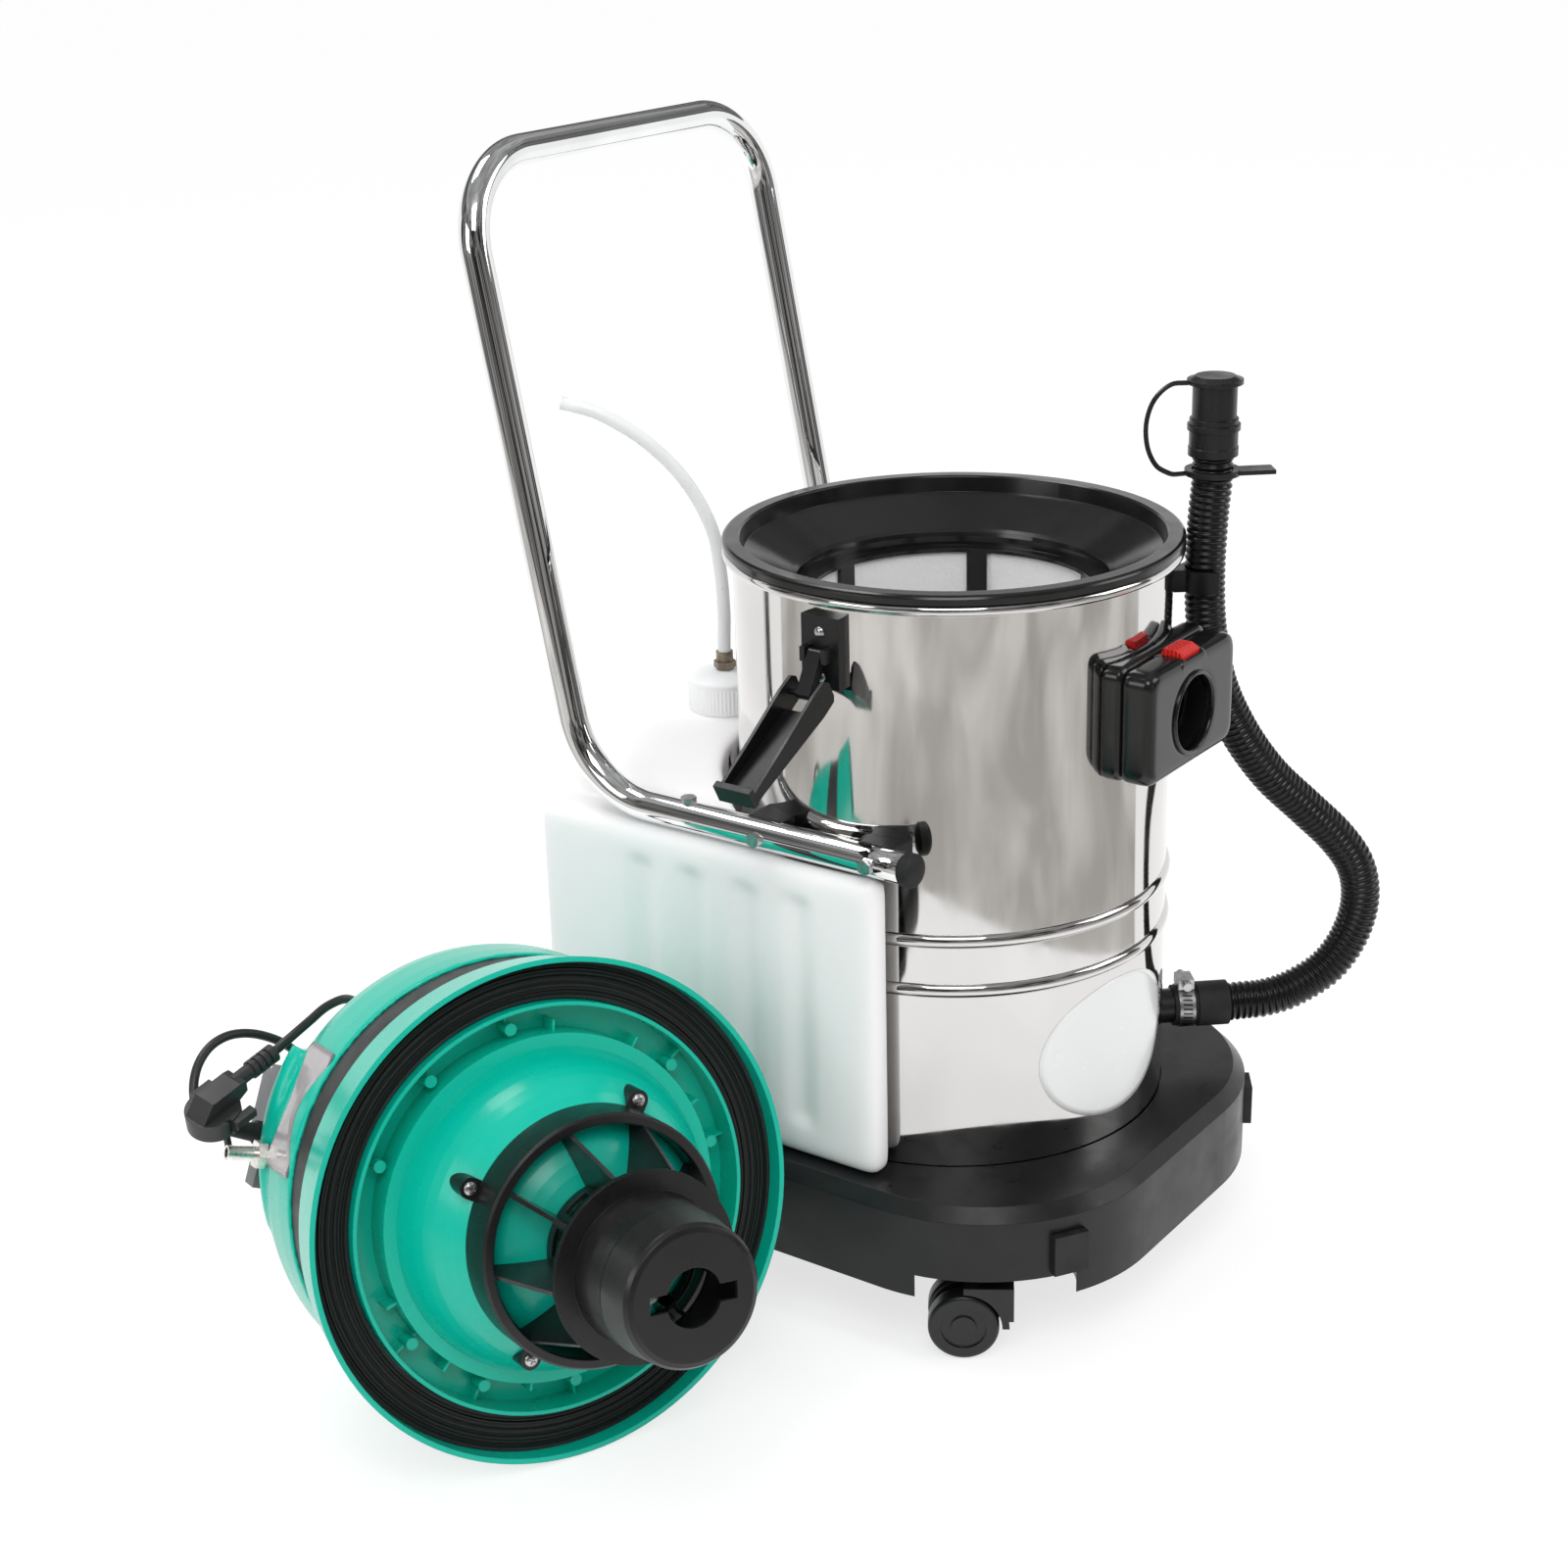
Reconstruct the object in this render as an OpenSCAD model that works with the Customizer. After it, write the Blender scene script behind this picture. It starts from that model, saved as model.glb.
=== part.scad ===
// Spray-extraction cleaning vacuum: castered base, steel drum, solution tank, push handle,
// drain hose, and the motor head lying on the floor beside the drum.
// Millimetres, +Z up, floor at z = 0, hose inlet facing -Y.

/* [Drum] */
// Outer diameter of the steel drum
drum_d = 310; // [300:1:316]
// Height of the drum from its seat to the top of its rolled rim
drum_h = 417; // [395:1:440]
// Thickness of the drum sheet
drum_wall = 1.2; // [0.8:0.1:1.6]
// Diameter of the rolled rim bead
rim_bead_d = 8; // [6:0.5:9]
// How far each rolled rib stands proud of the drum
drum_rib_proud = 3; // [2:0.25:4]
// Height of the lower rolled rib above the drum seat
drum_rib_low = 139; // [120:1:145]
// Spacing of the two rolled ribs
drum_rib_step = 37; // [25:1:45]

/* [Base] */
// Half the width of the base platform
base_half_w = 197; // [192:1:210]
// Distance from the drum axis to the front of the base
base_front = 197; // [190:1:205]
// Distance from the drum axis to the back of the base
base_rear = 250; // [248:1:270]
// Plan radius of the two front corners
base_front_r = 135; // [120:1:145]
// Plan radius of the two rear corners
base_rear_r = 110; // [90:1:120]
// Height of the top of the base above the floor
base_top_z = 121; // [116:1:130]
// Height of the lower edge of the skirt above the floor
skirt_z = 50; // [46:1:54]
// Wall thickness of the base moulding
base_wall = 4; // [3:0.5:6]
// Chamfer round the top edge of the base
base_chamfer = 9; // [4:1:12]
// Depth of the round seat that locates the drum
drum_seat_depth = 3; // [2:0.5:5]

/* [Casters] */
// Diameter of the twin wheels
wheel_d = 50; // [46:1:52]
// Width of one wheel
wheel_w = 15; // [12:0.5:16]
// Gap between the two wheels of a caster
wheel_gap = 9; // [8:0.5:11]
// Horizontal distance from the stem to the axle
caster_trail = 21; // [18:1:24]
// Sideways distance from the drum axis to each stem
caster_x = 149; // [144:1:152]
// Distance from the drum axis forward to the front stems
caster_front = 126; // [120:1:130]
// Distance from the drum axis back to the rear stems
caster_rear = 179; // [172:1:184]
// Diameter of the caster stem
stem_d = 10; // [8:0.5:12]
// Diameter of the wheel axle
axle_d = 6; // [5:0.5:8]

/* [Filter basket] */
// Radius of the round opening in the basket dish
basket_mouth_r = 110; // [104:1:116]
// Depth of the basket below the rim flange
basket_depth = 242; // [200:1:280]
// Number of vertical bars
basket_bars = 6; // [4:1:8]
// Width of one bar
basket_bar_w = 15; // [10:1:20]

/* [Hose inlet] */
// Sideways place of the inlet bore
inlet_x = 12; // [8:1:16]
// Height of the inlet bore above the floor
inlet_z = 436; // [425:1:445]
// Radius of the inlet bore
inlet_r = 26; // [22:0.5:28]
// Width of the inlet housing
inlet_w = 124; // [116:1:130]
// Height of the inlet housing
inlet_h = 80; // [76:1:88]
// Distance from the drum axis to the front face of the inlet
inlet_front = 186; // [182:1:194]

/* [Drain] */
// Compass direction of the drain spout
drain_az = -49; // [-52:1:-46]
// Height of the drain spout above the floor
drain_z = 160; // [156:1:166]
// Outer radius of the drain spout
spout_r = 13; // [11:0.5:13.5]
// Bore radius of the spout, the cuffs and the hose
drain_bore_r = 10.5; // [8:0.5:10.5]
// Outer radius of the two hose cuffs
cuff_r = 17; // [16:0.5:19]
// Outer radius of the corrugated hose over its ribs
hose_r = 14.5; // [13:0.5:15.5]
// Number of ribs on the hose
hose_ribs = 112; // [60:1:130]

/* [Push handle] */
// Outer radius of the handle tube
tube_r = 11; // [9:0.5:12]
// Wall thickness of the handle tube
tube_wall = 1.5; // [1:0.25:2.5]
// Half the distance between the two arms
arm_x = 168; // [167.5:0.5:171]
// Height of the arms above the floor
arm_z = 358; // [354:1:362]
// Length of the uprights from the arm level to the top bar
upright_len = 450; // [380:5:520]
// Backward lean of the uprights
lean = 11; // [6:1:15]
// Bend radius between arm and upright
heel_r = 70; // [60:1:75]
// Bend radius of the two top corners
crown_r = 65; // [50:1:80]

/* [Solution tank] */
// Half the width of the tank
tank_half_w = 180; // [177:1:184]
// Distance from the drum axis to the back of the tank
tank_rear = 245; // [240:1:247]
// Clearance round the drum
tank_drum_gap = 12; // [10:0.5:15]
// Height of the tank shoulders above the floor
tank_low_z = 346.5; // [330:0.5:346.5]
// Height of the raised rear part above the floor
tank_high_z = 372; // [368:1:378]
// Wall thickness of the tank
tank_wall = 2.5; // [2:0.25:4]
// Outer radius of the tank cap
cap_r = 28; // [24:1:31]
// Outer diameter of the solution tube
solution_tube_d = 10; // [8:0.5:11]

/* [Latches] */
// Length of the latch lever
lever_len = 104; // [90:1:112]
// Centre distance of the latch link
link_len = 28; // [25:0.5:31]
// Droop of the open lever below the horizontal
lever_droop = 28; // [15:1:34]

/* [Motor head] */
// Radius of the open edge of the head skirt
skirt_r = 169.4; // [166:0.2:172]
// Depth of the head skirt
head_skirt_h = 38; // [32:1:44]
// Taper of the skirt over its depth
skirt_taper = 6.2; // [5:0.2:8]
// Depth of the black band groove
band_h = 32; // [26:1:34]
// Radius of the straight part of the dome
dome_r = 155; // [150:1:156]
// Overall depth of the head behind the skirt edge
head_depth = 189; // [184:1:200]
// Wall thickness of the head mouldings
head_wall = 3; // [2.5:0.5:4]
// Tilt of the head axis above the horizontal
head_tilt = 10.4; // [8:0.2:13]
// Compass direction that the open side of the head faces
head_az = -114.3; // [-120:0.1:-110]
// Outer radius of the float cage base ring
cage_r = 83; // [80:0.5:84]
// Distance from the skirt edge to the tip of the float cage
cage_tip = 193; // [180:1:205]
// Number of cage vanes
cage_vanes = 9; // [6:1:10]

/* [Mains cord] */
// Diameter of the mains cord
cord_d = 6.4; // [5.5:0.1:6.5]
// Turns in each layer of the coil
coil_layer_turns = 3.875; // [1.875:1:3.875]
// Layers in the coil
coil_layers = 4; // [4:2:4]
// Distance between neighbouring turns
coil_pitch = 6.9; // [6.9:0.1:7.2]

/* [Hidden] */
$fn = 96;

// Clearances shared by the fits
run_gap = 0.05;
seat_gap = 0.3;

// Small overlap that joins neighbouring solids
eps = 0.01;

// Drum
drum_r = drum_d / 2;
drum_z = base_top_z - drum_seat_depth;
rim_z = drum_z + drum_h;
rim_bead_r = drum_r + 3.6;
drum_floor_t = 1.5;

// Handle, worked out from its centre line
arm_front = -68;
heel_y = 205;
crown_y = heel_y + upright_len * sin(lean);
crown_z = arm_z + upright_len * cos(lean);

// Latch
latch_y = 2;
latch_plate_x = drum_r + 7;
pin_x = latch_plate_x + 4;
pin_z = rim_z - 39;
lever_pivot_x = pin_x + link_len * cos(61);
lever_pivot_z = pin_z - link_len * sin(61);
lever_pivot_in = 10;
lever_lip = 14;
lever_web = -9;
latch_reach = lever_pivot_x + (lever_len - lever_pivot_in) * cos(lever_droop)
            + (lever_lip + lever_web) * sin(lever_droop);

// Head: centre of the skirt edge plane, with the skirt resting on the floor
head_x = -393.3;
head_y = 57.7;
head_z = (skirt_r - skirt_taper) * cos(head_tilt) + head_skirt_h * sin(head_tilt);
head_reach = skirt_r * sqrt(1 - pow(cos(head_tilt) * cos(head_az), 2));

// Middle of the object without its cords, used as the origin in plan
mid_x = ((head_x - head_reach) + latch_reach) / 2;
mid_y = (crown_y + tube_r * cos(lean) - base_front) / 2;

// Moves the model so that its origin is at the middle of its footprint
module place() {
    translate([-mid_x, -mid_y, 0]) children();
}

// Puts a part in the head's own frame: +Z out of the open side, +X down
module at_head() {
    place() translate([head_x, head_y, head_z]) rotate([0, 90 - head_tilt, head_az]) children();
}

// Same part on both sides of the machine
module both_sides() {
    children();
    mirror([1, 0, 0]) children();
}

// Left side for -1, right side for 1
module on_side(side) {
    mirror([side < 0 ? 1 : 0, 0, 0]) children();
}

// Solid extruded along X from a profile in (y, z)
module along_x(x0, x1) {
    translate([x0, 0, 0]) rotate([90, 0, 90]) linear_extrude(x1 - x0) children();
}

// Solid extruded along Y from a profile in (x, z)
module along_y(y0, y1) {
    translate([0, y1, 0]) rotate([90, 0, 0]) linear_extrude(y1 - y0) children();
}

// Rectangle with round corners between two corners
module round_rect(x0, y0, x1, y1, r) {
    translate([x0 + r, y0]) square([x1 - x0 - 2 * r, y1 - y0]);
    translate([x0, y0 + r]) square([x1 - x0, y1 - y0 - 2 * r]);
    for (x = [x0 + r, x1 - r], y = [y0 + r, y1 - r]) translate([x, y]) circle(r, $fn = 48);
}

// ---------------------------------------------------------------- swept tubes

function unit(v) = v / norm(v);

// Point on the smooth curve between b and c, with a and d as neighbours
function curve_point(a, b, c, d, t) =
    0.5 * (2 * b + (c - a) * t + (2 * a - 5 * b + 4 * c - d) * t * t
    + (3 * b - a - 3 * c + d) * t * t * t);

// Neighbour that makes the curve leave q in the direction from p to q
function straight_ghost(p, q, r) = r - 2 * norm(r - q) * unit(q - p);

// Fine polyline through the points; the first and last stretches stay straight
function fine_line(p, k) =
    let (n = len(p), g0 = straight_ghost(p[0], p[1], p[2]),
         g1 = straight_ghost(p[n - 1], p[n - 2], p[n - 3]))
    [
        p[0],
        for (i = [1 : n - 3], j = [0 : k - 1])
            curve_point(i == 1 ? g0 : p[i - 1], p[i], p[i + 1], i == n - 3 ? g1 : p[i + 2], j / k),
        p[n - 2],
        p[n - 1]
    ];

// Distance along a polyline at each of its points
function distances(p) =
    [for (i = 0, s = 0; i < len(p); s = i + 1 < len(p) ? s + norm(p[i + 1] - p[i]) : s, i = i + 1) s];

// Points at the given distances along a polyline
function points_at(p, at) =
    let (s = distances(p), axes = [for (k = [0 : 2]) [for (i = [0 : len(p) - 1]) [s[i], p[i][k]]]])
    [for (d = at) [for (k = [0 : 2]) lookup(d, axes[k])]];

function tangents(p) =
    [for (i = [0 : len(p) - 1]) unit(p[min(i + 1, len(p) - 1)] - p[max(i - 1, 0)])];

// One steady normal per point, carried along without twist
function normals(t, start) =
    [for (i = 0, n = unit(start - (start * t[0]) * t[0]); i < len(t);
          n = i + 1 < len(t) ? unit(n - (n * t[i + 1]) * t[i + 1]) : n, i = i + 1) n];

// Rings of points round a line
function rings(p, t, n, r, sides) =
    [for (i = [0 : len(p) - 1], k = [0 : sides - 1])
        let (a = 360 * k / sides)
        p[i] + r[i] * (cos(a) * n[i] + sin(a) * cross(t[i], n[i]))];

// Triangles of the wall between neighbouring rings; a bore is turned inside out
function wall_faces(count, sides, base, bore) =
    [for (i = [0 : count - 2], k = [0 : sides - 1])
        let (a = base + i * sides + k, b = base + i * sides + (k + 1) % sides,
             c = b + sides, d = a + sides)
        each bore ? [[a, c, d], [a, b, c]] : [[a, d, c], [a, c, b]]];

// Triangles of the flat ring between an outer and an inner ring of points
function end_faces(outer, inner, sides, far) =
    [for (k = [0 : sides - 1])
        let (m = (k + 1) % sides, a = outer + k, b = outer + m, c = inner + m, d = inner + k)
        each far ? [[a, c, b], [a, d, c]] : [[a, b, c], [a, c, d]]];

// Solid round tube along a line
module swept_rod(p, r, sides, start = [0, 0, 1]) {
    t = tangents(p);
    n = normals(t, start);
    last = (len(p) - 1) * sides;
    polyhedron(
        rings(p, t, n, [for (q = p) r], sides),
        concat(wall_faces(len(p), sides, 0, false),
               [for (k = [1 : sides - 2]) [0, k, k + 1]],
               [for (k = [1 : sides - 2]) [last, last + k + 1, last + k]]));
}

// Ribbed tube with a bore: two rings per rib outside, one ring per two ribs inside
module ribbed_tube(line, ribs, r_out, r_root, r_bore, sides) {
    total = max(distances(line));
    outer_at = [for (i = [0 : 2 * ribs - 1]) total * i / (2 * ribs - 1)];
    inner_at = [for (i = [0 : ceil(ribs / 2)]) total * i / ceil(ribs / 2)];
    po = points_at(line, outer_at);
    pi = points_at(line, inner_at);
    to = tangents(po);
    ti = tangents(pi);
    no = normals(to, [0, 0, 1]);
    ni = normals(ti, [0, 0, 1]);
    base = len(po) * sides;
    lo = base - sides;
    li = base + (len(pi) - 1) * sides;
    radii = [for (i = [0 : len(po) - 1]) i % 2 == 0 ? r_root : r_out];
    polyhedron(
        concat(rings(po, to, no, radii, sides), rings(pi, ti, ni, [for (q = pi) r_bore], sides)),
        concat(wall_faces(len(po), sides, 0, false), wall_faces(len(pi), sides, base, true),
               end_faces(0, base, sides, false), end_faces(lo, li, sides, true)));
}

// Round tube with a bore, open at both ends
module hollow_tube(p, r, bore, sides, start) {
    t = tangents(p);
    n = normals(t, start);
    base = len(p) * sides;
    lo = base - sides;
    li = 2 * base - sides;
    polyhedron(
        concat(rings(p, t, n, [for (q = p) r], sides), rings(p, t, n, [for (q = p) bore], sides)),
        concat(wall_faces(len(p), sides, 0, false), wall_faces(len(p), sides, base, true),
               end_faces(0, base, sides, false), end_faces(lo, li, sides, true)));
}

// ---------------------------------------------------------------- base and casters

// Corner circles of the base plan: x, y, radius
base_corners = [
    for (s = [-1, 1]) [s * (base_half_w - base_front_r), base_front_r - base_front, base_front_r],
    for (s = [-1, 1]) [s * (base_half_w - base_rear_r), base_rear - base_rear_r, base_rear_r]
];

// Solid of the base plan, drawn in by inset and chamfered at the top
module base_form(inset, z0, z1, chamfer) {
    zc = z1 - chamfer;
    for (c = base_corners) translate([c.x, c.y, z0]) {
        cylinder(r = c[2] - inset, h = zc - z0);
        if (chamfer > 0)
            translate([0, 0, zc - z0])
                cylinder(r1 = c[2] - inset, r2 = c[2] - inset - chamfer, h = chamfer);
    }
    xf = base_corners[1].x;
    xr = base_corners[3].x;
    yf = -base_front + inset;
    yr = base_rear - inset;
    xs = base_half_w - inset;
    along_x(-xf, xf)
        polygon([[yf, z0], [0, z0], [0, z1], [yf + chamfer, z1], [yf, zc]]);
    along_x(-xr, xr)
        polygon([[0, z0], [yr, z0], [yr, zc], [yr - chamfer, z1], [0, z1]]);
    along_y(base_corners[1].y, base_corners[3].y)
        polygon([[-xs, z0], [xs, z0], [xs, zc], [xs - chamfer, z1], [-xs + chamfer, z1], [-xs, zc]]);
}

// Stem places: x, y, trail direction of the caster
casters = [
    [-caster_x, -caster_front, 122],
    [caster_x, -caster_front, 100],
    [-caster_x, caster_rear, 125],
    [caster_x, caster_rear, 95]
];
well_r = 58;
well_roof_z = skirt_z + 17;
stem_top_z = base_top_z - base_wall - 1;
boss_r = stem_d / 2 + 7;
collar_gap = 0.3;

module base_platform() {
    color("#1b1b1d") place() difference() {
        union() {
            difference() {
                base_form(0, skirt_z, base_top_z, base_chamfer);
                base_form(base_wall, skirt_z - 1, base_top_z - base_wall, base_chamfer - 2);
            }
            intersection() {
                base_form(1, skirt_z, base_top_z - 1, base_chamfer);
                for (c = casters) translate([c.x, c.y, skirt_z]) {
                    cylinder(r = well_r + 3, h = well_roof_z + base_wall - skirt_z);
                    translate([0, 0, well_roof_z - skirt_z])
                        cylinder(r = boss_r, h = base_top_z - 2 - well_roof_z);
                }
            }
        }
        translate([0, 0, drum_z]) cylinder(r = drum_r + 1, h = 20, $fn = 128);
        for (c = casters) translate([c.x, c.y, 0]) {
            cylinder(r = well_r, h = well_roof_z);
            cylinder(r = stem_d / 2 + run_gap, h = stem_top_z + 0.5);
        }
    }
}

// Soft bumper pads on the four corners of the skirt
bumper_w = 26;
bumper_proud = 5.6;

module base_bumpers() {
    color("#101012") place() difference() {
        for (i = [0 : 3]) {
            c = base_corners[i];
            dir = i < 2 ? -58 : 45;
            a = c.x > 0 ? dir : 180 - dir;
            translate([c.x, c.y, skirt_z + 20]) rotate([0, 0, a])
                translate([c[2] - 8, -bumper_w / 2, 0]) cube([8 + bumper_proud, bumper_w, 30]);
        }
        base_form(0, skirt_z - 1, base_top_z + 1, 0);
    }
}

hood_w = 2 * wheel_w + wheel_gap + 1.4;
hood_r = wheel_d / 2 + 7;
hood_top = skirt_z + 7;
web_t = wheel_gap - 1;
wheel_r = wheel_d / 2;

// Hood, web, stem and collar of one caster
module caster_hood(i) {
    c = casters[i];
    color("#19191b") place() translate([c.x, c.y, 0]) rotate([0, 0, c[2]]) {
        difference() {
            union() {
                intersection() {
                    translate([caster_trail, 0, wheel_r]) rotate([90, 0, 0])
                        cylinder(r = hood_r, h = hood_w, center = true);
                    translate([-20, -hood_w / 2, wheel_r])
                        cube([caster_trail + 20, hood_w, hood_top - wheel_r]);
                }
                translate([-14, -hood_w / 2, wheel_r + 6])
                    cube([caster_trail + 14, hood_w, hood_top - wheel_r - 6]);
                translate([caster_trail, 0, wheel_r]) rotate([90, 0, 0])
                    cylinder(r = 12, h = web_t, center = true);
            }
            for (s = [-1, 1]) translate([caster_trail, s * (web_t / 2 + 50), wheel_r]) rotate([90, 0, 0])
                cylinder(r = wheel_r + 2, h = 100, center = true);
            translate([caster_trail, 0, wheel_r]) rotate([90, 0, 0])
                cylinder(r = axle_d / 2 + run_gap, h = 60, center = true);
        }
        translate([0, 0, hood_top - eps]) cylinder(r = 10, h = well_roof_z - collar_gap - hood_top + eps);
        translate([0, 0, hood_top - eps]) cylinder(r = stem_d / 2, h = stem_top_z - hood_top + eps);
    }
}

// Two wheels with rounded edges on one axle
module caster_wheels(i) {
    c = casters[i];
    edge = 3;
    color("#141416") place() translate([c.x, c.y, 0]) rotate([0, 0, c[2]])
        translate([caster_trail, 0, wheel_r]) rotate([90, 0, 0]) {
            for (s = [0, 1]) mirror([0, 0, s]) translate([0, 0, wheel_gap / 2]) rotate_extrude()
                difference() {
                    union() {
                        square([wheel_r - edge, wheel_w]);
                        translate([0, edge]) square([wheel_r, wheel_w - 2 * edge]);
                        translate([wheel_r - edge, edge]) circle(edge, $fn = 32);
                        translate([wheel_r - edge, wheel_w - edge]) circle(edge, $fn = 32);
                    }
                    translate([9, wheel_w - 1.5]) square([7, 2]);
                }
            cylinder(r = axle_d / 2, h = wheel_gap + 2, center = true);
        }
}

// ---------------------------------------------------------------- drum

drum_rib_r = 5.67;

module drum_profile() {
    difference() {
        union() {
            translate([0, drum_z]) square([drum_r, drum_floor_t]);
            translate([drum_r - drum_wall, drum_z]) square([drum_wall, drum_h - rim_bead_d / 2]);
            translate([rim_bead_r, rim_z - rim_bead_d / 2]) circle(rim_bead_d / 2, $fn = 32);
            for (k = [0, 1]) intersection() {
                translate([drum_r + drum_rib_proud - drum_rib_r, drum_z + drum_rib_low + k * drum_rib_step])
                    circle(drum_rib_r, $fn = 48);
                translate([drum_r - drum_wall, drum_z]) square([20, drum_h]);
            }
        }
        for (k = [0, 1])
            translate([drum_r + drum_rib_proud - drum_rib_r, drum_z + drum_rib_low + k * drum_rib_step])
                circle(drum_rib_r - drum_wall, $fn = 48);
        translate([rim_bead_r, rim_z - rim_bead_d / 2]) circle(rim_bead_d / 2 - drum_wall, $fn = 32);
    }
}

module drum_shell() {
    color("#c9cbcd") place() difference() {
        rotate_extrude($fn = 128) drum_profile();
        translate([inlet_x, 0, inlet_z]) rotate([90, 0, 0]) cylinder(r = inlet_r + 1, h = 200);
        rotate([0, 0, drain_az]) translate([100, 0, drain_z]) rotate([0, 90, 0])
            cylinder(r = spout_r, h = 100);
    }
}

// ---------------------------------------------------------------- filter basket

flange_z = rim_z + seat_gap;
flange_top = flange_z + 6.7;
basket_floor_z = flange_top - basket_depth;
collar_z = flange_top - 46;
bar_in = basket_mouth_r - 9.5;
bar_t = 3.5;
cloth_gap = 0.3;
cloth_t = 1.5;

module filter_basket() {
    m = basket_mouth_r;
    fr = rim_bead_r + rim_bead_d / 2;
    hole_r = bar_in - 20;
    color("#17171a") place() {
        rotate_extrude($fn = 128) {
            polygon([
                [fr, flange_z], [fr, flange_z + 4.2], [fr - 0.8, flange_top - 1], [fr - 2.5, flange_top],
                [fr - 12, flange_top], [fr - 13, flange_top - 1], [fr - 15, flange_top - 12],
                [m + 4, flange_top - 31], [m + 1, flange_top - 33], [m, flange_top - 36], [m, collar_z + 3],
                [bar_in, collar_z + 3], [bar_in, collar_z], [m + 2.5, collar_z], [m + 2.5, flange_top - 36],
                [m + 5, flange_top - 34], [fr - 12.6, flange_top - 13.6], [fr - 10.5, flange_z]
            ]);
            translate([bar_in, basket_floor_z]) square([bar_t, 8]);
        }
        for (k = [0 : basket_bars - 1]) rotate([0, 0, k * 360 / basket_bars + 22]) {
            translate([bar_in, -basket_bar_w / 2, basket_floor_z])
                cube([bar_t - 0.3, basket_bar_w, collar_z - basket_floor_z + 1]);
        }
        difference() {
            translate([0, 0, basket_floor_z]) cylinder(r = bar_in + bar_t, h = bar_t);
            for (k = [0 : basket_bars - 1]) rotate([0, 0, (k + 0.5) * 360 / basket_bars + 22])
                translate([bar_in / 2 + 5, 0, basket_floor_z - 1]) cylinder(r = 24, h = bar_t + 2);
        }
    }
}

// Filter cloth stretched over the outside of the bars, closed below
module filter_cloth() {
    r = bar_in + bar_t + cloth_gap;
    color("#f2f2ee") place() difference() {
        translate([0, 0, basket_floor_z - cloth_gap - cloth_t])
            cylinder(r = r + cloth_t, h = collar_z - cloth_gap - basket_floor_z + cloth_gap + cloth_t);
        translate([0, 0, basket_floor_z - cloth_gap]) cylinder(r = r, h = basket_depth);
    }
}

// ---------------------------------------------------------------- hose inlet

inlet_plate_y = inlet_front - 25;
inlet_groove = 2;
inlet_x0 = inlet_x - inlet_w / 2;
inlet_x1 = inlet_x + inlet_w / 2;
inlet_z0 = inlet_z - inlet_h / 2 + 2;
inlet_z1 = inlet_z + inlet_h / 2 + 2;
inlet_edge = 9;
button_w = 24;
button_l = 17;
button_travel = 3;
button_y = -inlet_front + 12;

// Collar that seats the inlet on the round drum
module inlet_plate() {
    color("#161618") place() difference() {
        union() {
            along_y(-inlet_plate_y, -inlet_plate_y + 14)
                round_rect(inlet_x0, inlet_z0, inlet_x1, inlet_z1 + 2, inlet_edge);
            along_y(-inlet_plate_y + 2, -80)
                round_rect(inlet_x0 + 3, inlet_z0 + 3, inlet_x1 - 3, inlet_z1 - 1, inlet_edge);
            along_y(-inlet_plate_y - inlet_groove, -inlet_plate_y + 1)
                round_rect(inlet_x0 + 2, inlet_z0 + 2, inlet_x1 - 2, inlet_z1, inlet_edge);
        }
        cylinder(r = drum_r, h = rim_z + 50, $fn = 128);
        translate([inlet_x, 0, inlet_z]) rotate([90, 0, 0]) cylinder(r = inlet_r + 1, h = inlet_front);
    }
}

// Front housing with the hose bore and the well of the release button
module inlet_box() {
    back = -inlet_plate_y - inlet_groove;
    front = -inlet_front;
    e = 4;
    color("#151517") place() difference() {
        union() {
            for (q = [[e, 0], [1.2, 1.2], [0, e]]) along_y(front + q[0], back)
                round_rect(inlet_x0 + q[1], inlet_z0 + q[1], inlet_x1 - q[1], inlet_z1 - q[1], inlet_edge);
        }
        translate([inlet_x, 0, inlet_z]) rotate([90, 0, 0]) cylinder(r = inlet_r, h = inlet_front + 5);
        translate([inlet_x, front + 2.5, inlet_z]) rotate([90, 0, 0])
            cylinder(r1 = inlet_r, r2 = inlet_r + 4, h = 4);
        translate([inlet_x - button_w / 2 - 0.5, button_y - button_l / 2 - 0.5, inlet_z1 - 8])
            cube([button_w + 1, button_l + 1, 20]);
    }
}

// Red release button, pressed down into its well
module inlet_button() {
    color("#e5352c") place() difference() {
        translate([inlet_x, 0, 0]) {
            translate([-button_w / 2, button_y - button_l / 2, inlet_z1 - 8 + button_travel + 0.5])
                cube([button_w, button_l, 7 - button_travel]);
            along_x(-button_w / 2, button_w / 2)
                polygon([
                    [button_y - button_l / 2, inlet_z1 - 2],
                    [button_y + button_l / 2, inlet_z1 - 2],
                    [button_y + button_l / 2 - 2, inlet_z1 + 4],
                    [button_y - button_l / 2 + 6, inlet_z1 + 4],
                    [button_y - button_l / 2, inlet_z1 + 1]
                ]);
        }
        for (k = [0 : 4]) translate([inlet_x - button_w / 2 + 3 + k * 4, button_y - 3, inlet_z1 + 3.4])
            cube([1.2, 8, 2]);
    }
}

// ---------------------------------------------------------------- drain hose

spout_end = drum_r + 29;
cuff_start = drum_r + 12;
cuff_end = drum_r + 54;
clamp_at = drum_r + 15;

// Puts a part on the drain axis: +Z outward
module at_drain() {
    place() rotate([0, 0, drain_az]) translate([0, 0, drain_z]) rotate([0, 90, 0]) children();
}

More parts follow.
